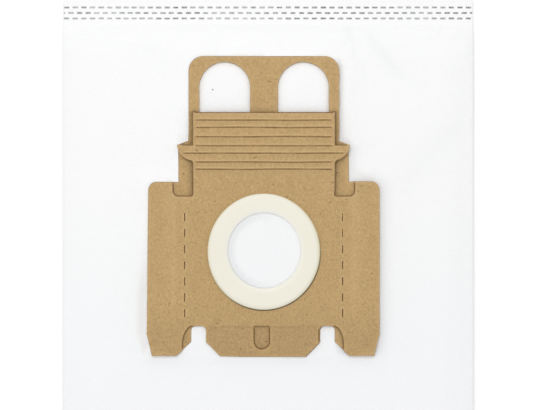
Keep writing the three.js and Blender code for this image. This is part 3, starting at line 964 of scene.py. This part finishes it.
SIM_CELL = 4.5
SIM_FRAMES = 28
SIM_SLACK = 0.012
SIM_CAP = 1.0
SIM_UNEVEN = 0.12
SIM_SETTINGS = {
    "quality": 6, "mass": 0.02, "tension_stiffness": 12, "compression_stiffness": 12,
    "bending_stiffness": 0.4, "air_damping": 4, "vertex_group_mass": "held", "shrink_min": -SIM_SLACK,
}


def settle_front_sheet():
    """Lets a slack sheet, held by the welds, folds and collar, settle; returns its grid of height changes."""
    columns = np.arange(-BAG_SIDE, BAG_SIDE + 0.1, 2 * BAG_SIDE / round(2 * BAG_SIDE / SIM_CELL))
    rows = np.arange(-BAG_END, BAG_END + 0.1, 2 * BAG_END / round(2 * BAG_END / SIM_CELL))
    flat = np.array([(x, y) for y in rows for x in columns])
    changes = np.zeros(len(flat))
    heights = plain_height(flat)
    held = np.maximum(under_collar(flat), smooth((np.abs(flat[:, 1]) - BAND_START + 3.0) / 3.0))
    held = np.maximum(held, smooth((np.abs(flat[:, 0]) - BAG_SIDE + 5.0) / 4.0))
    across = len(columns)
    faces = [
        (r * across + c, r * across + c + 1, (r + 1) * across + c + 1, (r + 1) * across + c)
        for r in range(len(rows) - 1) for c in range(across - 1)
    ]
    start = heights + SIM_UNEVEN * ripple(*flat.T, *SLACK_RIPPLE)
    mesh = bpy.data.meshes.new("slack_sheet")
    mesh.from_pydata([(x * MM, y * MM, z * MM) for (x, y), z in zip(flat, start)], [], faces)
    cloth_piece = add_object("slack_sheet", mesh)
    pins = cloth_piece.vertex_groups.new(name="held")
    for number, weight in enumerate(held):
        if weight > 0.01:
            pins.add([number], float(weight), "REPLACE")
    cloth = cloth_piece.modifiers.new("Cloth", "CLOTH")
    for setting, value in SIM_SETTINGS.items():
        setattr(cloth.settings, setting, value)
    cloth.point_cache.frame_start = 1
    cloth.point_cache.frame_end = SIM_FRAMES
    for step in range(1, SIM_FRAMES + 1):
        bpy.context.scene.frame_set(step)
    settled = cloth_piece.evaluated_get(bpy.context.evaluated_depsgraph_get()).to_mesh()
    places = np.empty(len(settled.vertices) * 3)
    settled.vertices.foreach_get("co", places)
    changes = places.reshape(-1, 3)[:, 2] / MM - heights
    bpy.context.scene.frame_set(1)
    bpy.data.objects.remove(cloth_piece, do_unlink=True)
    changes = SIM_CAP * np.tanh(changes / SIM_CAP) * (1.0 - held)
    return columns, rows, changes.reshape(len(rows), len(columns))


SETTLED = settle_front_sheet()


def settled_change(flat):
    """The settled sheet's height change at any place, smoothed between the grid's points."""
    columns, rows, changes = SETTLED
    u = np.clip((flat[:, 0] - columns[0]) / (columns[1] - columns[0]), 0, len(columns) - 1.001)
    v = np.clip((flat[:, 1] - rows[0]) / (rows[1] - rows[0]), 0, len(rows) - 1.001)
    i, j = u.astype(int), v.astype(int)
    a, b = smooth(u - i), smooth(v - j)
    low = changes[j, i] * (1 - a) + changes[j, i + 1] * a
    high = changes[j + 1, i] * (1 - a) + changes[j + 1, i + 1] * a
    return low * (1 - b) + high * b


# Soft folds of the front sheet, as points from the inlet's centre, with depth and half width
FOLDS = [
    ([(41.5, 114.0), (44.5, 105.0), (48.5, 91.0)], 0.75, 2.4),
    ([(51.5, 114.0), (56.0, 104.0), (61.0, 98.0), (66.0, 90.0), (70.5, 86.0), (80.0, 82.0)], 0.9, 2.8),
    ([(104.0, 68.0), (88.0, 52.0), (72.0, 34.0), (58.0, 20.0)], 0.45, 6.0),
    ([(-58.0, 112.0), (-55.0, 98.0), (-47.0, 84.0)], 0.22, 3.0),
]
FOLD_PATCH = ((36.0, 76.0), (86.0, 112.0))
FOLD_CELL = 1.5
# Painted shade in the folds, for each millimetre of their depth
FOLD_SHADE = 0.35


def fold_depth(flat):
    """How deep each place lies in the soft folds."""
    total = np.zeros(len(flat))
    for points, depth, width in FOLDS:
        best = np.full(len(flat), 1e9)
        run = np.zeros(len(flat))
        spans = len(points) - 1
        for number in range(spans):
            a = np.array(points[number]) + INLET
            along = np.array(points[number + 1]) + INLET - a
            t = np.clip(((flat - a) @ along) / (along @ along), 0.0, 1.0)
            away = np.linalg.norm(flat - a - t[:, None] * along, axis=1)
            closer = away < best
            best = np.where(closer, away, best)
            run = np.where(closer, (number + t) / spans, run)
        fade = smooth(run / 0.15) * smooth((1.0 - run) / 0.45)
        total += depth * fade * np.exp(-(best / width) ** 1.5)
    return total


def gap_to(points, loop):
    """Distance of each point from the line of a closed loop."""
    run = np.roll(loop, -1, axis=0) - loop
    length = np.maximum((run ** 2).sum(axis=1), 1e-9)
    gaps = []
    for start in range(0, len(points), CHUNK):
        apart = points[start:start + CHUNK, None, :] - loop[None]
        t = np.clip((apart * run).sum(axis=2) / length, 0.0, 1.0)
        gaps.append(np.sqrt(((apart - t[..., None] * run) ** 2).sum(axis=2).min(axis=1)))
    return np.concatenate(gaps)


def groove_depth(place, away):
    """How far the fleece sinks beside the card, at places measured from the inlet's centre."""
    x, y = place.T
    above_foot = smooth((y + COLLAR_FOOT + 1.0) / 3.0)
    beside_grip = smooth((y - NECK_TOP) / 3.0)
    reach = GROOVE_REACH + (GROOVE_GRIP_REACH - GROOVE_REACH) * beside_grip
    right = smooth((x - TONGUE_SIDE) / 2.0) * above_foot * np.exp(-away / reach)
    right *= GROOVE_RIGHT + (1.0 - GROOVE_RIGHT) * beside_grip
    left = smooth((1.5 - x - COLLAR_SIDE) / 1.5) * above_foot * (1.0 - smooth((away - 2.0) / 3.0))
    left *= smooth((GROOVE_LEFT_TOP - y) / (GROOVE_LEFT_TOP - GROOVE_LEFT_FULL))
    grip = GROOVE_GRIP_LEFT * beside_grip * (x < 0.0) * np.exp(-away / GROOVE_GRIP_REACH)
    return GROOVE_DEPTH * (right + left + grip)


def groove_painted_shade(flat):
    """How much painted shade the fleece gets beside the card's right side."""
    tone = np.zeros(len(flat))
    near = (np.abs(flat[:, 1]) < BAND_START) & (flat[:, 0] > INLET[0] + TONGUE_SIDE)
    place = flat[near] - INLET
    reach = np.where(place[:, 1] > NECK_TOP, GROOVE_SHADE_REACH / 2, GROOVE_SHADE_REACH)
    fade = smooth((place[:, 1] + COLLAR_FOOT + 1.0) / 3.0) * smooth((place[:, 0] - TONGUE_SIDE) / 2.0)
    tone[near] = GROOVE_SHADE * fade * (1.0 - smooth(gap_to(place, BACK_LOOPS[0]) / reach))
    return tone


def fringe_rise(flat):
    """How far the soft fleece stands up beside the card and in its windows, or sinks beside the card."""
    rise = np.zeros(len(flat))
    near = np.abs(flat[:, 1]) < BAND_START
    if not near.any():
        return rise
    place = flat[near] - INLET
    away = gap_to(place, BACK_LOOPS[0])
    free = ~inside(place, BACK_LOOPS[0])
    right = smooth(place[:, 0] / COLLAR_SIDE / 0.7)
    lower_left = smooth(-place[:, 0] / COLLAR_SIDE - 0.2) * smooth(-place[:, 1] / COLLAR_FOOT / 0.6)
    beside = FRINGE_RISE * (1.0 - FRINGE_RIGHT * np.maximum(right, lower_left))
    total = beside * np.exp(-away / FRINGE_REACH) - groove_depth(place, away)
    total *= free * smooth(away / FRINGE_GAP)
    for window in BACK_LOOPS[2:]:
        total += inside(place, window) * WINDOW_RISE * (1.0 - np.exp(-gap_to(place, window) / WINDOW_REACH))
    rise[near] = total
    return rise


def pressed(flat, dashes, near):
    """How deep and how marked the places are from dashes that reach only some of them."""
    profile = np.zeros((2, len(flat)))
    profile[:, near] = dash_profile(flat[near], dashes)
    return profile


def weld_profile(flat):
    """How deep and how marked each place is from the dashes of both welded ends."""
    band = np.abs(flat[:, 1]) > BAND_START - 2.0
    return sum(pressed(flat, dashes, band & (flat[:, 1] * dashes[0, 1] > 0.0)) for dashes in TOP_DASHES)


def lap_profile(flat):
    """How deep and how marked each place is from the dashes of the lap seam."""
    return pressed(flat, LAP_DASHES, np.abs(flat[:, 0]) < LAP_WIDTH / 2)


def front_height(flat):
    """The front sheet's outer face as it shows."""
    return sheet_height(flat) + fringe_rise(flat)


def sheet_height(flat):
    """The front sheet with its settling, folds and pressed welds."""
    beyond = smooth((np.abs(flat[:, 1]) - BAND_START + 1.5) / 1.5)
    held = under_collar(flat)
    loose = 1.0 - np.maximum(beyond, held)
    height = plain_height(flat) + loose * (settled_change(flat) - fold_depth(flat))
    height += held * collar_warp(flat - INLET) * (1.0 - beyond)
    band = np.abs(flat[:, 1]) > BAND_START - 2.0
    rows = np.abs(flat[band, 1]) - (BAG_END - FIRST_ROW_INSET - WELD_ROW_PITCH)
    puff = np.cos(rows / WELD_ROW_PITCH * 2 * math.pi) * -0.5 + 0.5
    puff *= smooth((2.2 * WELD_ROW_PITCH - np.abs(rows)) / WELD_ROW_PITCH)
    lumps = 0.5 + 0.5 * ripple(*flat[band].T, *BAND_RIPPLE)
    height[band] += BAND_PUFF * puff * (0.6 + 0.4 * lumps)
    return height - weld_profile(flat)[0]


def front_marks(flat):
    """The front sheet's melted dashes, and its shade in the folds and beside the card."""
    return {"shade": weld_profile(flat)[1], "dim": FOLD_SHADE * fold_depth(flat) + groove_painted_shade(flat)}


def back_height(flat):
    """The back sheet's outer face: it lies on its lap seam."""
    step = smooth((np.abs(flat[:, 0]) - LAP_WIDTH / 2 + 0.2) / 0.4)
    soft = 0.5 + 0.5 * ripple(*flat.T, *BACK_RIPPLE)
    return LAP_STEP * step * (0.6 + 0.4 * np.clip(soft, 0.0, 1.0)) + lap_profile(flat)[0]


def back_marks(flat):
    return {"shade": lap_profile(flat)[1]}


def wall_thickness(flat):
    """Wall thickness of each sheet; toward the welds the two sheets press together."""
    total = plain_height(flat) - LAP_STEP
    return (total - np.maximum(total - 2 * PLY, 0.05)) / 2


def bore_place(flat):
    """Each place as a direction and a distance from the ring's middle, with its bore taken as round."""
    place = (flat - INLET - np.array(RING_SHIFT[0])) / np.array(RING_SQUEEZE[0])
    away = np.linalg.norm(place, axis=1)
    return place / np.maximum(away, 0.1)[:, None], away


def inner_marks(flat):
    """The liner's painted shade: a little all over, and more close beside the left of the bore."""
    toward, away = bore_place(flat)
    left = smooth(0.45 - 0.7 * toward[:, 0])
    return {"dim": LINER_PLAIN_SHADE + LINER_EDGE_SHADE * left * smooth((away / RING_BORE - 0.74) / 0.16)}


def inner_floor(flat):
    """The inside of the back sheet. Its loose liner bulges into the inlet and falls off beside the ring."""
    base = back_height(flat) + wall_thickness(flat)
    toward, away = bore_place(flat)
    rim = np.minimum(LINER_RIM + toward @ np.array(LINER_RIM_TILT), LINER_RIM_TOP)
    shoulder = np.clip((away / RING_BORE - LINER_SHOULDER) / (1.0 - LINER_SHOULDER), 0.0, 1.0)
    level = LINER_HEIGHT + (rim - LINER_HEIGHT) * shoulder ** LINER_FALL
    return base + (level - base) * (1.0 - smooth((away - LINER_TOP) / LINER_REACH))


def split_runs(path, count):
    """Splits each run of a closed path into as many equal parts as count gives for its two ends."""
    points = []
    for place, after in zip(path, np.roll(path, -1, axis=0)):
        parts = count(place, after)
        points.extend(place + (after - place) * part / parts for part in range(parts))
    return np.array(points)


def bag_outline(inward, cell):
    """A counter-clockwise rounded rectangle, some way in from the bag's edge."""
    corner = max(CORNER_ROUND - inward, 0.2)
    path = rounded_box(0.0, 0.0, BAG_SIDE - inward, BAG_END - inward, corner, (0, 30, 60, 90))
    return split_runs(path, lambda place, after: max(1, round(math.dist(place, after) / cell)))


def band_parts(place, after):
    """Into how many parts a run of the bag's edge is split: more beside the welded bands."""
    beside = min(abs(place[1]), abs(after[1])) > BAND_START and abs(place[0]) > BAG_SIDE - 0.01
    return 5 if beside else 1


def make_bag():
    """The fleece bag: front and back sheets, rounded side folds, and the inside with its liner."""
    skin = Skin()
    rim = split_runs(bag_outline(0.0, EDGE_CELL), band_parts)
    edge = inset(rim, EDGE_REACH)
    hole = round_hole(FLEECE_BORE, 96) + INLET

    marks = [loop for dashes in TOP_DASHES for loop in dash_loops(dashes, BAG_SIDE - EDGE_REACH - 0.1)]
    for loop in (BACK_LOOPS[0], *BACK_LOOPS[2:]):
        marks += [inset(loop, side) + INLET for side in (0.3, -FRINGE_GAP, -0.9)]
    marked = np.concatenate([edge, hole, *marks])
    low, high = edge.min(axis=0), edge.max(axis=0)
    fill = staggered_grid((low[0], -BAND_START + 1.0), (high[0], BAND_START - 1.0), SHEET_CELL)
    reach = np.array([COLLAR_SIDE, 0.0]) + FRINGE_BAND
    beside = staggered_grid(INLET - reach - (0.0, COLLAR_FOOT), INLET + reach + (0.0, GRIP_TOP), FRINGE_CELL)
    gap = gap_to(beside - INLET, BACK_LOOPS[0])
    beside = beside[(gap < FRINGE_BAND) & ~inside(beside - INLET, BACK_LOOPS[0])]
    fill = np.concatenate([away_from(fill, beside, FRINGE_CELL), beside])
    patch = np.array(FOLD_PATCH) + INLET
    within = ((fill > patch[0]) & (fill < patch[1])).all(axis=1)
    fill = np.concatenate([fill[~within], staggered_grid(patch[0], patch[1], FOLD_CELL)])
    for end in (1, -1):
        span = sorted((end * (BAND_START - 1.0), end * BAG_END))
        fill = np.concatenate([fill, staggered_grid((low[0], span[0]), (high[0], span[1]), BAND_CELL)])
    fill = away_from(fill, marked, 0.4)
    outer, mouth = skin.sheet([edge, hole], fill, front_height, front_marks, marks)

    seam = dash_loops(LAP_DASHES, BAG_SIDE)
    fill = staggered_grid(low, high, SHEET_CELL * 1.6)
    fill = fill[np.abs(fill[:, 0]) > LAP_WIDTH / 2 + 1.2]
    lap = staggered_grid((-LAP_WIDTH / 2 + 0.9, low[1]), (LAP_WIDTH / 2 - 0.9, high[1]), 1.3)
    run = np.arange(low[1] + 1.0, high[1], 1.3)
    lines = [pairs(hand * (LAP_WIDTH / 2 + off), run) for hand in (-1, 1) for off in (-0.2, 0.2)]
    fill = away_from(np.concatenate([fill, lap, *lines]), np.concatenate([edge, *seam]), 0.4)
    base, = skin.sheet([edge], fill, back_height, back_marks, seam)

    last = outer
    top, bottom = front_height(edge), back_height(edge)
    for turn in (60, 30, 0, -30, -60):
        a = math.radians(turn)
        ring = inset(rim, EDGE_REACH * (1.0 - math.cos(a)))
        numbers = skin.add(ring, (top + bottom) / 2 + (top - bottom) / 2 * math.sin(a))
        skin.rim(last, numbers)
        last = numbers
    skin.rim(last, base)

    inner = bag_outline(WELD_BAND + PLY, INNER_CELL)
    inner[:, 0] *= (BAG_SIDE - 2 * PLY) / (BAG_SIDE - WELD_BAND - PLY)
    fill = staggered_grid(inner.min(axis=0), inner.max(axis=0), INNER_CELL)
    fill = away_from(fill, np.concatenate([inner, hole]), 2.0)
    ceiling = lambda flat: sheet_height(flat) - wall_thickness(flat)
    above, throat = skin.sheet([inner, hole], fill, ceiling)
    liner = np.concatenate([round_hole(radius, 96 if radius > 12.5 else 36) for radius in LINER_RADII])
    liner = liner * np.array(RING_SQUEEZE[0]) + np.array(RING_SHIFT[0]) + INLET
    fill = np.concatenate([away_from(fill, liner, 2.0), liner])
    below, = skin.sheet([inner], fill, inner_floor, inner_marks)
    skin.rim(above, below)
    skin.rim(mouth, throat)
    return skin.build("fleece_bag")


# Materials

class Nodes:
    """Builds the node tree of a material or a world with short calls."""

    def __init__(self, owner):
        owner.use_nodes = True
        self.owner, self.tree = owner, owner.node_tree

    def put(self, socket, value):
        if isinstance(value, bpy.types.NodeSocket):
            self.tree.links.new(value, socket)
        else:
            socket.default_value = value

    def add(self, kind, inputs=(), **settings):
        """A new node with its settings, and with its inputs set or linked."""
        node = self.tree.nodes.new("ShaderNode" + kind)
        for key, value in settings.items():
            setattr(node, key, value)
        for key, value in dict(inputs).items():
            self.put(node.inputs[key], value)
        return node

    def math(self, operation, a, b, clamp=False):
        return self.add("Math", {0: a, 1: b}, operation=operation, use_clamp=clamp).outputs[0]

    def span(self, value, low, high, to_low=0.0, to_high=1.0):
        return self.add("MapRange", enumerate((value, low, high, to_low, to_high)), clamp=True).outputs[0]

    def mix(self, share, a, b, blend="MIX"):
        return self.add("Mix", {0: share, 6: a, 7: b}, data_type="RGBA", blend_type=blend).outputs[2]

    def mark(self, label):
        return self.add("Attribute", attribute_name=label).outputs["Fac"]

    def camera_ray(self):
        return self.add("LightPath").outputs["Is Camera Ray"]


class Surface(Nodes):
    """One piece's material: a Principled shader with noise placed by object coordinates."""

    def __init__(self, name):
        super().__init__(bpy.data.materials.new(name))
        self.shader = self.tree.nodes["Principled BSDF"]
        self.place = self.add("TexCoord").outputs["Object"]

    def noise(self, scale, detail=2.0, stretch=(1.0, 1.0, 1.0), distortion=0.0, roughness=0.55):
        vector = self.add("Mapping", {"Vector": self.place, "Scale": stretch}).outputs[0]
        inputs = {"Scale": scale, "Detail": detail, "Roughness": roughness, "Distortion": distortion}
        return self.add("TexNoise", {"Vector": vector, **inputs}).outputs["Fac"]

    def finish(self, colour, bumps, roughness):
        """Gives the shader its colour, its bumps as heights and distances, and its roughness."""
        normal = {}
        for height, distance in bumps:
            bump = self.add("Bump", {"Strength": 1.0, "Distance": distance, "Height": height, **normal})
            normal = {"Normal": bump.outputs[0]}
        for label, value in {"Base Color": colour, "Roughness": roughness, **normal}.items():
            self.put(self.shader.inputs[label], value)
        return self.owner


KRAFT = (0.5, 0.33, 0.144, 1.0)
KRAFT_LIGHT = (0.648, 0.447, 0.212, 1.0)
KRAFT_DARK = (0.356, 0.221, 0.086, 1.0)
KRAFT_SHADY = (0.47, 0.47, 0.47, 1.0)
KRAFT_SUNNY = (0.53, 0.53, 0.53, 1.0)
KRAFT_FLECK = (0.2, 0.115, 0.045, 1.0)
KRAFT_FIBRE = (0.69, 0.5, 0.27, 1.0)
KRAFT_EDGE = (0.3, 0.19, 0.085, 1.0)
# Painted shade colours for creases and for the dim mark, and the paler colour of painted highlights and the
# side folding lines
KRAFT_CREASE = (0.15, 0.078, 0.027, 1.0)
KRAFT_DIM = (0.77, 0.765, 0.77, 1.0)
KRAFT_PALE = (0.66, 0.46, 0.235, 1.0)
FLEECE = (0.953, 0.956, 0.956, 1.0)
FLEECE_DEEP = (0.938, 0.94, 0.941, 1.0)
FLEECE_COOL = (0.935, 0.947, 0.962, 1.0)
FLEECE_DIM = (0.876, 0.882, 0.892, 1.0)
MELTED = (0.43, 0.43, 0.43, 1.0)
MELTED_DARK = (0.22, 0.22, 0.22, 1.0)
SPECK = (0.25, 0.22, 0.18, 1.0)
RUBBER = (0.86, 0.835, 0.72, 1.0)
RUBBER_DEEP = (0.852, 0.825, 0.706, 1.0)
RUBBER_LIP_HIGHLIGHT = (0.94, 0.935, 0.9, 1.0)
RUBBER_FLANK_SHADE = (0.6, 0.54, 0.29, 1.0)
# Painted shadow at the ring's foot
RING_FOOT_SHADOW = (0.035, 0.02, 0.01, 1.0)


# Noise of each material: scale, detail, stretch, distortion and roughness
KRAFT_NOISE = [
    (1000.0, 4.0, (1.0, 0.8, 1.0), 0.0, 0.75), (230.0, 2.0, (1.0, 0.6, 1.0)),
    (1500.0, 2.0, (0.22, 1.0, 1.0), 1.2), (1300.0, 2.0, (1.0, 0.2, 1.0), 1.5),
    (760.0, 1.0, (0.7, 1.0, 1.0), 0.6), (1600.0, 2.0, (0.3, 0.3, 2.0)),
]
FLEECE_NOISE = [
    (900.0, 3.0, (1.0, 1.0, 1.0), 1.0), (1700.0, 2.0, (0.18, 1.0, 1.0), 2.0),
    (1600.0, 2.0, (1.0, 0.2, 1.0), 2.0), (28.0,), (1100.0,),
]
RUBBER_NOISE = [(60.0,), (1800.0,)]
KRAFT_BUMPS = (0.00012, 0.00006, 0.00005)
FLEECE_BUMPS = (0.00013, 0.00007, 0.00006)
RUBBER_BUMP = 0.00003

# Spans of noise or place: start and end, and the strength at each
CLOUD_SPAN = (0.3, 0.7)
FINE_SPAN = (0.35, 0.65)
FIBRE_SPAN = (0.62, 0.72, 0.0, 0.35)
THREAD_SPAN = (0.63, 0.7, 0.0, 0.3)
FLECK_SPAN = (0.71, 0.76, 0.0, 0.75)
KRAFT_ROUGHNESS = (0.78, 0.92)
FLEECE_CLOUD = (0.0, 0.6)
COOL_SPAN = (0.03, -0.055, 0.0, 0.9)
MELT_SPAN = (0.3, 0.6, 0.75, 1.0)
BLOB_SPAN = (0.42, 0.6)
SPECK_SPAN = (0.00025, 0.0006, 0.8, 0.0)
FLEECE_ROUGHNESS = (0.95, 0.6)
RUBBER_ROUGHNESS = (0.5, 0.62)
KRAFT_EVEN = 0.32
KRAFT_CLOUD_SHARE = 0.5
PALE_SHARE = -0.42
CREASE_SHARE = 0.85
LIP_HIGHLIGHT_SHARE = 0.75
RUBBER_SHINE = 0.35


def kraft_material():
    """Pale brown board: cloudy pulp, short fibres, dark flecks, and a darker cut edge, with painted shade and
    painted highlights from its marks.
    """
    n = Surface("kraft_board")
    cloud, wide, fibre, thread, fleck, edge = (n.noise(*layer) for layer in KRAFT_NOISE)
    colour = n.mix(n.span(cloud, *CLOUD_SPAN), KRAFT_DARK, KRAFT_LIGHT)
    colour = n.mix(KRAFT_EVEN, colour, KRAFT)
    clouded = n.mix(n.span(wide, *CLOUD_SPAN), KRAFT_SHADY, KRAFT_SUNNY)
    colour = n.mix(KRAFT_CLOUD_SHARE, colour, clouded, "OVERLAY")
    colour = n.mix(n.span(fibre, *FIBRE_SPAN), colour, KRAFT_FIBRE)
    colour = n.mix(n.span(thread, *THREAD_SPAN), colour, KRAFT_DARK)
    colour = n.mix(n.span(fleck, *FLECK_SPAN), colour, KRAFT_FLECK)
    tone = n.mark("dim")
    # Painted shade where the dim mark is positive; where it is negative, painted highlight along edges and
    # crease lips, and paler side folding lines
    colour = n.mix(n.math("MAXIMUM", tone, 0.0, clamp=True), colour, KRAFT_DIM, "MULTIPLY")
    colour = n.mix(n.math("MULTIPLY", tone, PALE_SHARE, clamp=True), colour, KRAFT_PALE)
    colour = n.mix(n.mark("cut"), colour, n.mix(n.span(edge, *FINE_SPAN), KRAFT_EDGE, KRAFT))
    # Painted shade in creases, along the foot fold and on cut faces at crevices
    colour = n.mix(n.math("MULTIPLY", n.mark("shade"), CREASE_SHARE), colour, KRAFT_CREASE)
    bumps = zip((cloud, fibre, thread), KRAFT_BUMPS)
    return n.finish(colour, bumps, n.span(cloud, *CLOUD_SPAN, *KRAFT_ROUGHNESS))


def fleece_material():
    """White bonded fleece: fine random fibres, grey melted welds and one speck of dirt, with painted shade
    from its dim mark and a painted cool shade toward the bottom.
    """
    n = Surface("white_fleece")
    felt, hair, strand, cloud, blob = (n.noise(*layer) for layer in FLEECE_NOISE)
    colour = n.mix(n.span(felt, *FINE_SPAN), FLEECE_DEEP, FLEECE)
    colour = n.mix(n.span(cloud, *CLOUD_SPAN, *FLEECE_CLOUD), colour, FLEECE_DEEP)
    # Painted cool shade: bluer toward the bottom
    along = n.add("SeparateXYZ", {0: n.place}).outputs["Y"]
    colour = n.mix(n.span(along, *COOL_SPAN), colour, FLEECE_COOL)
    # Painted shade in the folds, beside the card and on the liner
    colour = n.mix(n.mark("dim"), colour, FLEECE_DIM, "MULTIPLY")
    mark = n.math("MULTIPLY", n.mark("shade"), n.span(felt, *MELT_SPAN), clamp=True)
    colour = n.mix(mark, colour, n.mix(n.span(blob, *BLOB_SPAN), MELTED_DARK, MELTED))
    away = n.add("VectorMath", {0: n.place, 1: SPECK_PLACE}, operation="DISTANCE").outputs["Value"]
    colour = n.mix(n.span(away, *SPECK_SPAN), colour, SPECK)
    bumps = zip((felt, hair, strand), FLEECE_BUMPS)
    return n.finish(colour, bumps, n.span(mark, 0.0, 1.0, *FLEECE_ROUGHNESS))


def rubber_material():
    """Cream rubber with a satin skin, with painted shade on its flank, a painted highlight on its bore's lip
    and a painted shadow at its foot.
    """
    n = Surface("cream_rubber")
    cloud, grain = (n.noise(*layer) for layer in RUBBER_NOISE)
    colour = n.mix(n.span(cloud, *FINE_SPAN), RUBBER_DEEP, RUBBER)
    # Painted highlight on the bore's lip
    colour = n.mix(n.math("MULTIPLY", n.mark("dim"), LIP_HIGHLIGHT_SHARE), colour, RUBBER_LIP_HIGHLIGHT)
    # Painted shade on the flank
    colour = n.mix(n.mark("cut"), colour, RUBBER_FLANK_SHADE)
    colour = n.mix(n.mark("shade"), colour, RING_FOOT_SHADOW)
    n.shader.inputs["Specular IOR Level"].default_value = RUBBER_SHINE
    return n.finish(colour, [(grain, RUBBER_BUMP)], n.span(grain, *CLOUD_SPAN, *RUBBER_ROUGHNESS))


# The one speck of dirt on the fleece, left of the left finger window's middle
SPECK_FROM_INLET = np.array([-25.5, 80.9])
speck_flat = SPECK_FROM_INLET + INLET
speck_height = front_height(speck_flat[None, :])[0]
SPECK_PLACE = (speck_flat[0] * MM, speck_flat[1] * MM, speck_height * MM)

pieces = [
    (make_bag(), "filter_bag", "fleece", fleece_material()),
    (make_back_board(), "back_plate", "kraft_card", kraft_material()),
    (make_front_board(), "front_plate", "kraft_card", kraft_material()),
    (make_ring(), "seal_ring", "seal_rubber", rubber_material()),
]
for piece, node, slot, material in pieces:
    piece.data.materials.append(material)
    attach(piece, "root")
    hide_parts(node)

# Floor, lights and camera, in metres
FLOOR_SIZE = 6.0
FLOOR_DROP = 0.0003
FLOOR_GREY = 0.86
FLOOR_LIFT = 0.2


WORLD_SHARE = 0.785
KEY_PLACE = (-0.12, 0.42, 0.9)
KEY_SIZE = 0.4
KEY_SHARE = 0.225


def make_floor():
    """A pale floor that keeps its shadow and is lifted toward white only for camera rays."""
    mesh = bpy.data.meshes.new("floor")
    half = FLOOR_SIZE / 2
    corners = [(-half, -half, 0.0), (half, -half, 0.0), (half, half, 0.0), (-half, half, 0.0)]
    mesh.from_pydata(corners, [], [(0, 1, 2, 3)])
    n = Nodes(bpy.data.materials.new("floor_white"))
    n.tree.nodes.clear()
    diffuse = n.add("BsdfDiffuse", {"Color": (FLOOR_GREY, FLOOR_GREY, FLOOR_GREY, 1.0)})
    glow = n.add("Emission", {"Strength": n.math("MULTIPLY", n.camera_ray(), FLOOR_LIFT)})
    both = n.add("AddShader", {0: diffuse.outputs[0], 1: glow.outputs[0]})
    n.add("OutputMaterial", {"Surface": both.outputs[0]})
    mesh.materials.append(n.owner)
    add_object("floor", mesh, (0.0, 0.0, -FLOOR_DROP))


def make_lights():
    """A white world, and one soft lamp whose share of the light on the floor is set."""
    n = Nodes(bpy.data.worlds.new("studio"))
    bpy.context.scene.world = n.owner
    background = n.tree.nodes["Background"]
    background.inputs["Color"].default_value = (1.0, 1.0, 1.0, 1.0)
    n.put(background.inputs["Strength"], n.span(n.camera_ray(), 0.0, 1.0, WORLD_SHARE, 1.0))
    lamp = bpy.data.lights.new("key", "AREA")
    lamp.shape = "DISK"
    lamp.size = KEY_SIZE
    lamp.energy = KEY_SHARE * math.pi ** 2 * Vector(KEY_PLACE).length ** 3 / KEY_PLACE[2]
    key = add_object("key", lamp, KEY_PLACE)
    key.rotation_euler = (-Vector(KEY_PLACE)).to_track_quat("-Z", "Y").to_euler()


# The camera looks straight down; one image pixel is half a millimetre at the collar's face
IMAGE_WIDTH = 537
IMAGE_HEIGHT = 410
PIXEL = 0.5
INLET_PIXEL = (263.6, 251.25)
CAMERA_RISE = 1.2
SENSOR = 36.0


def make_camera():
    data = bpy.data.cameras.new("camera")
    data.sensor_fit = "HORIZONTAL"
    data.sensor_width = SENSOR
    data.lens = SENSOR * CAMERA_RISE / (IMAGE_WIDTH * PIXEL * MM)
    x = INLET[0] + (IMAGE_WIDTH / 2 - INLET_PIXEL[0]) * PIXEL
    y = INLET[1] + (INLET_PIXEL[1] - IMAGE_HEIGHT / 2) * PIXEL
    camera = add_object("camera", data, (x * MM, y * MM, front_high[2] * MM + CAMERA_RISE))
    bpy.context.scene.camera = camera


make_floor()
make_lights()
make_camera()
bpy.context.scene.view_settings.view_transform = "Standard"
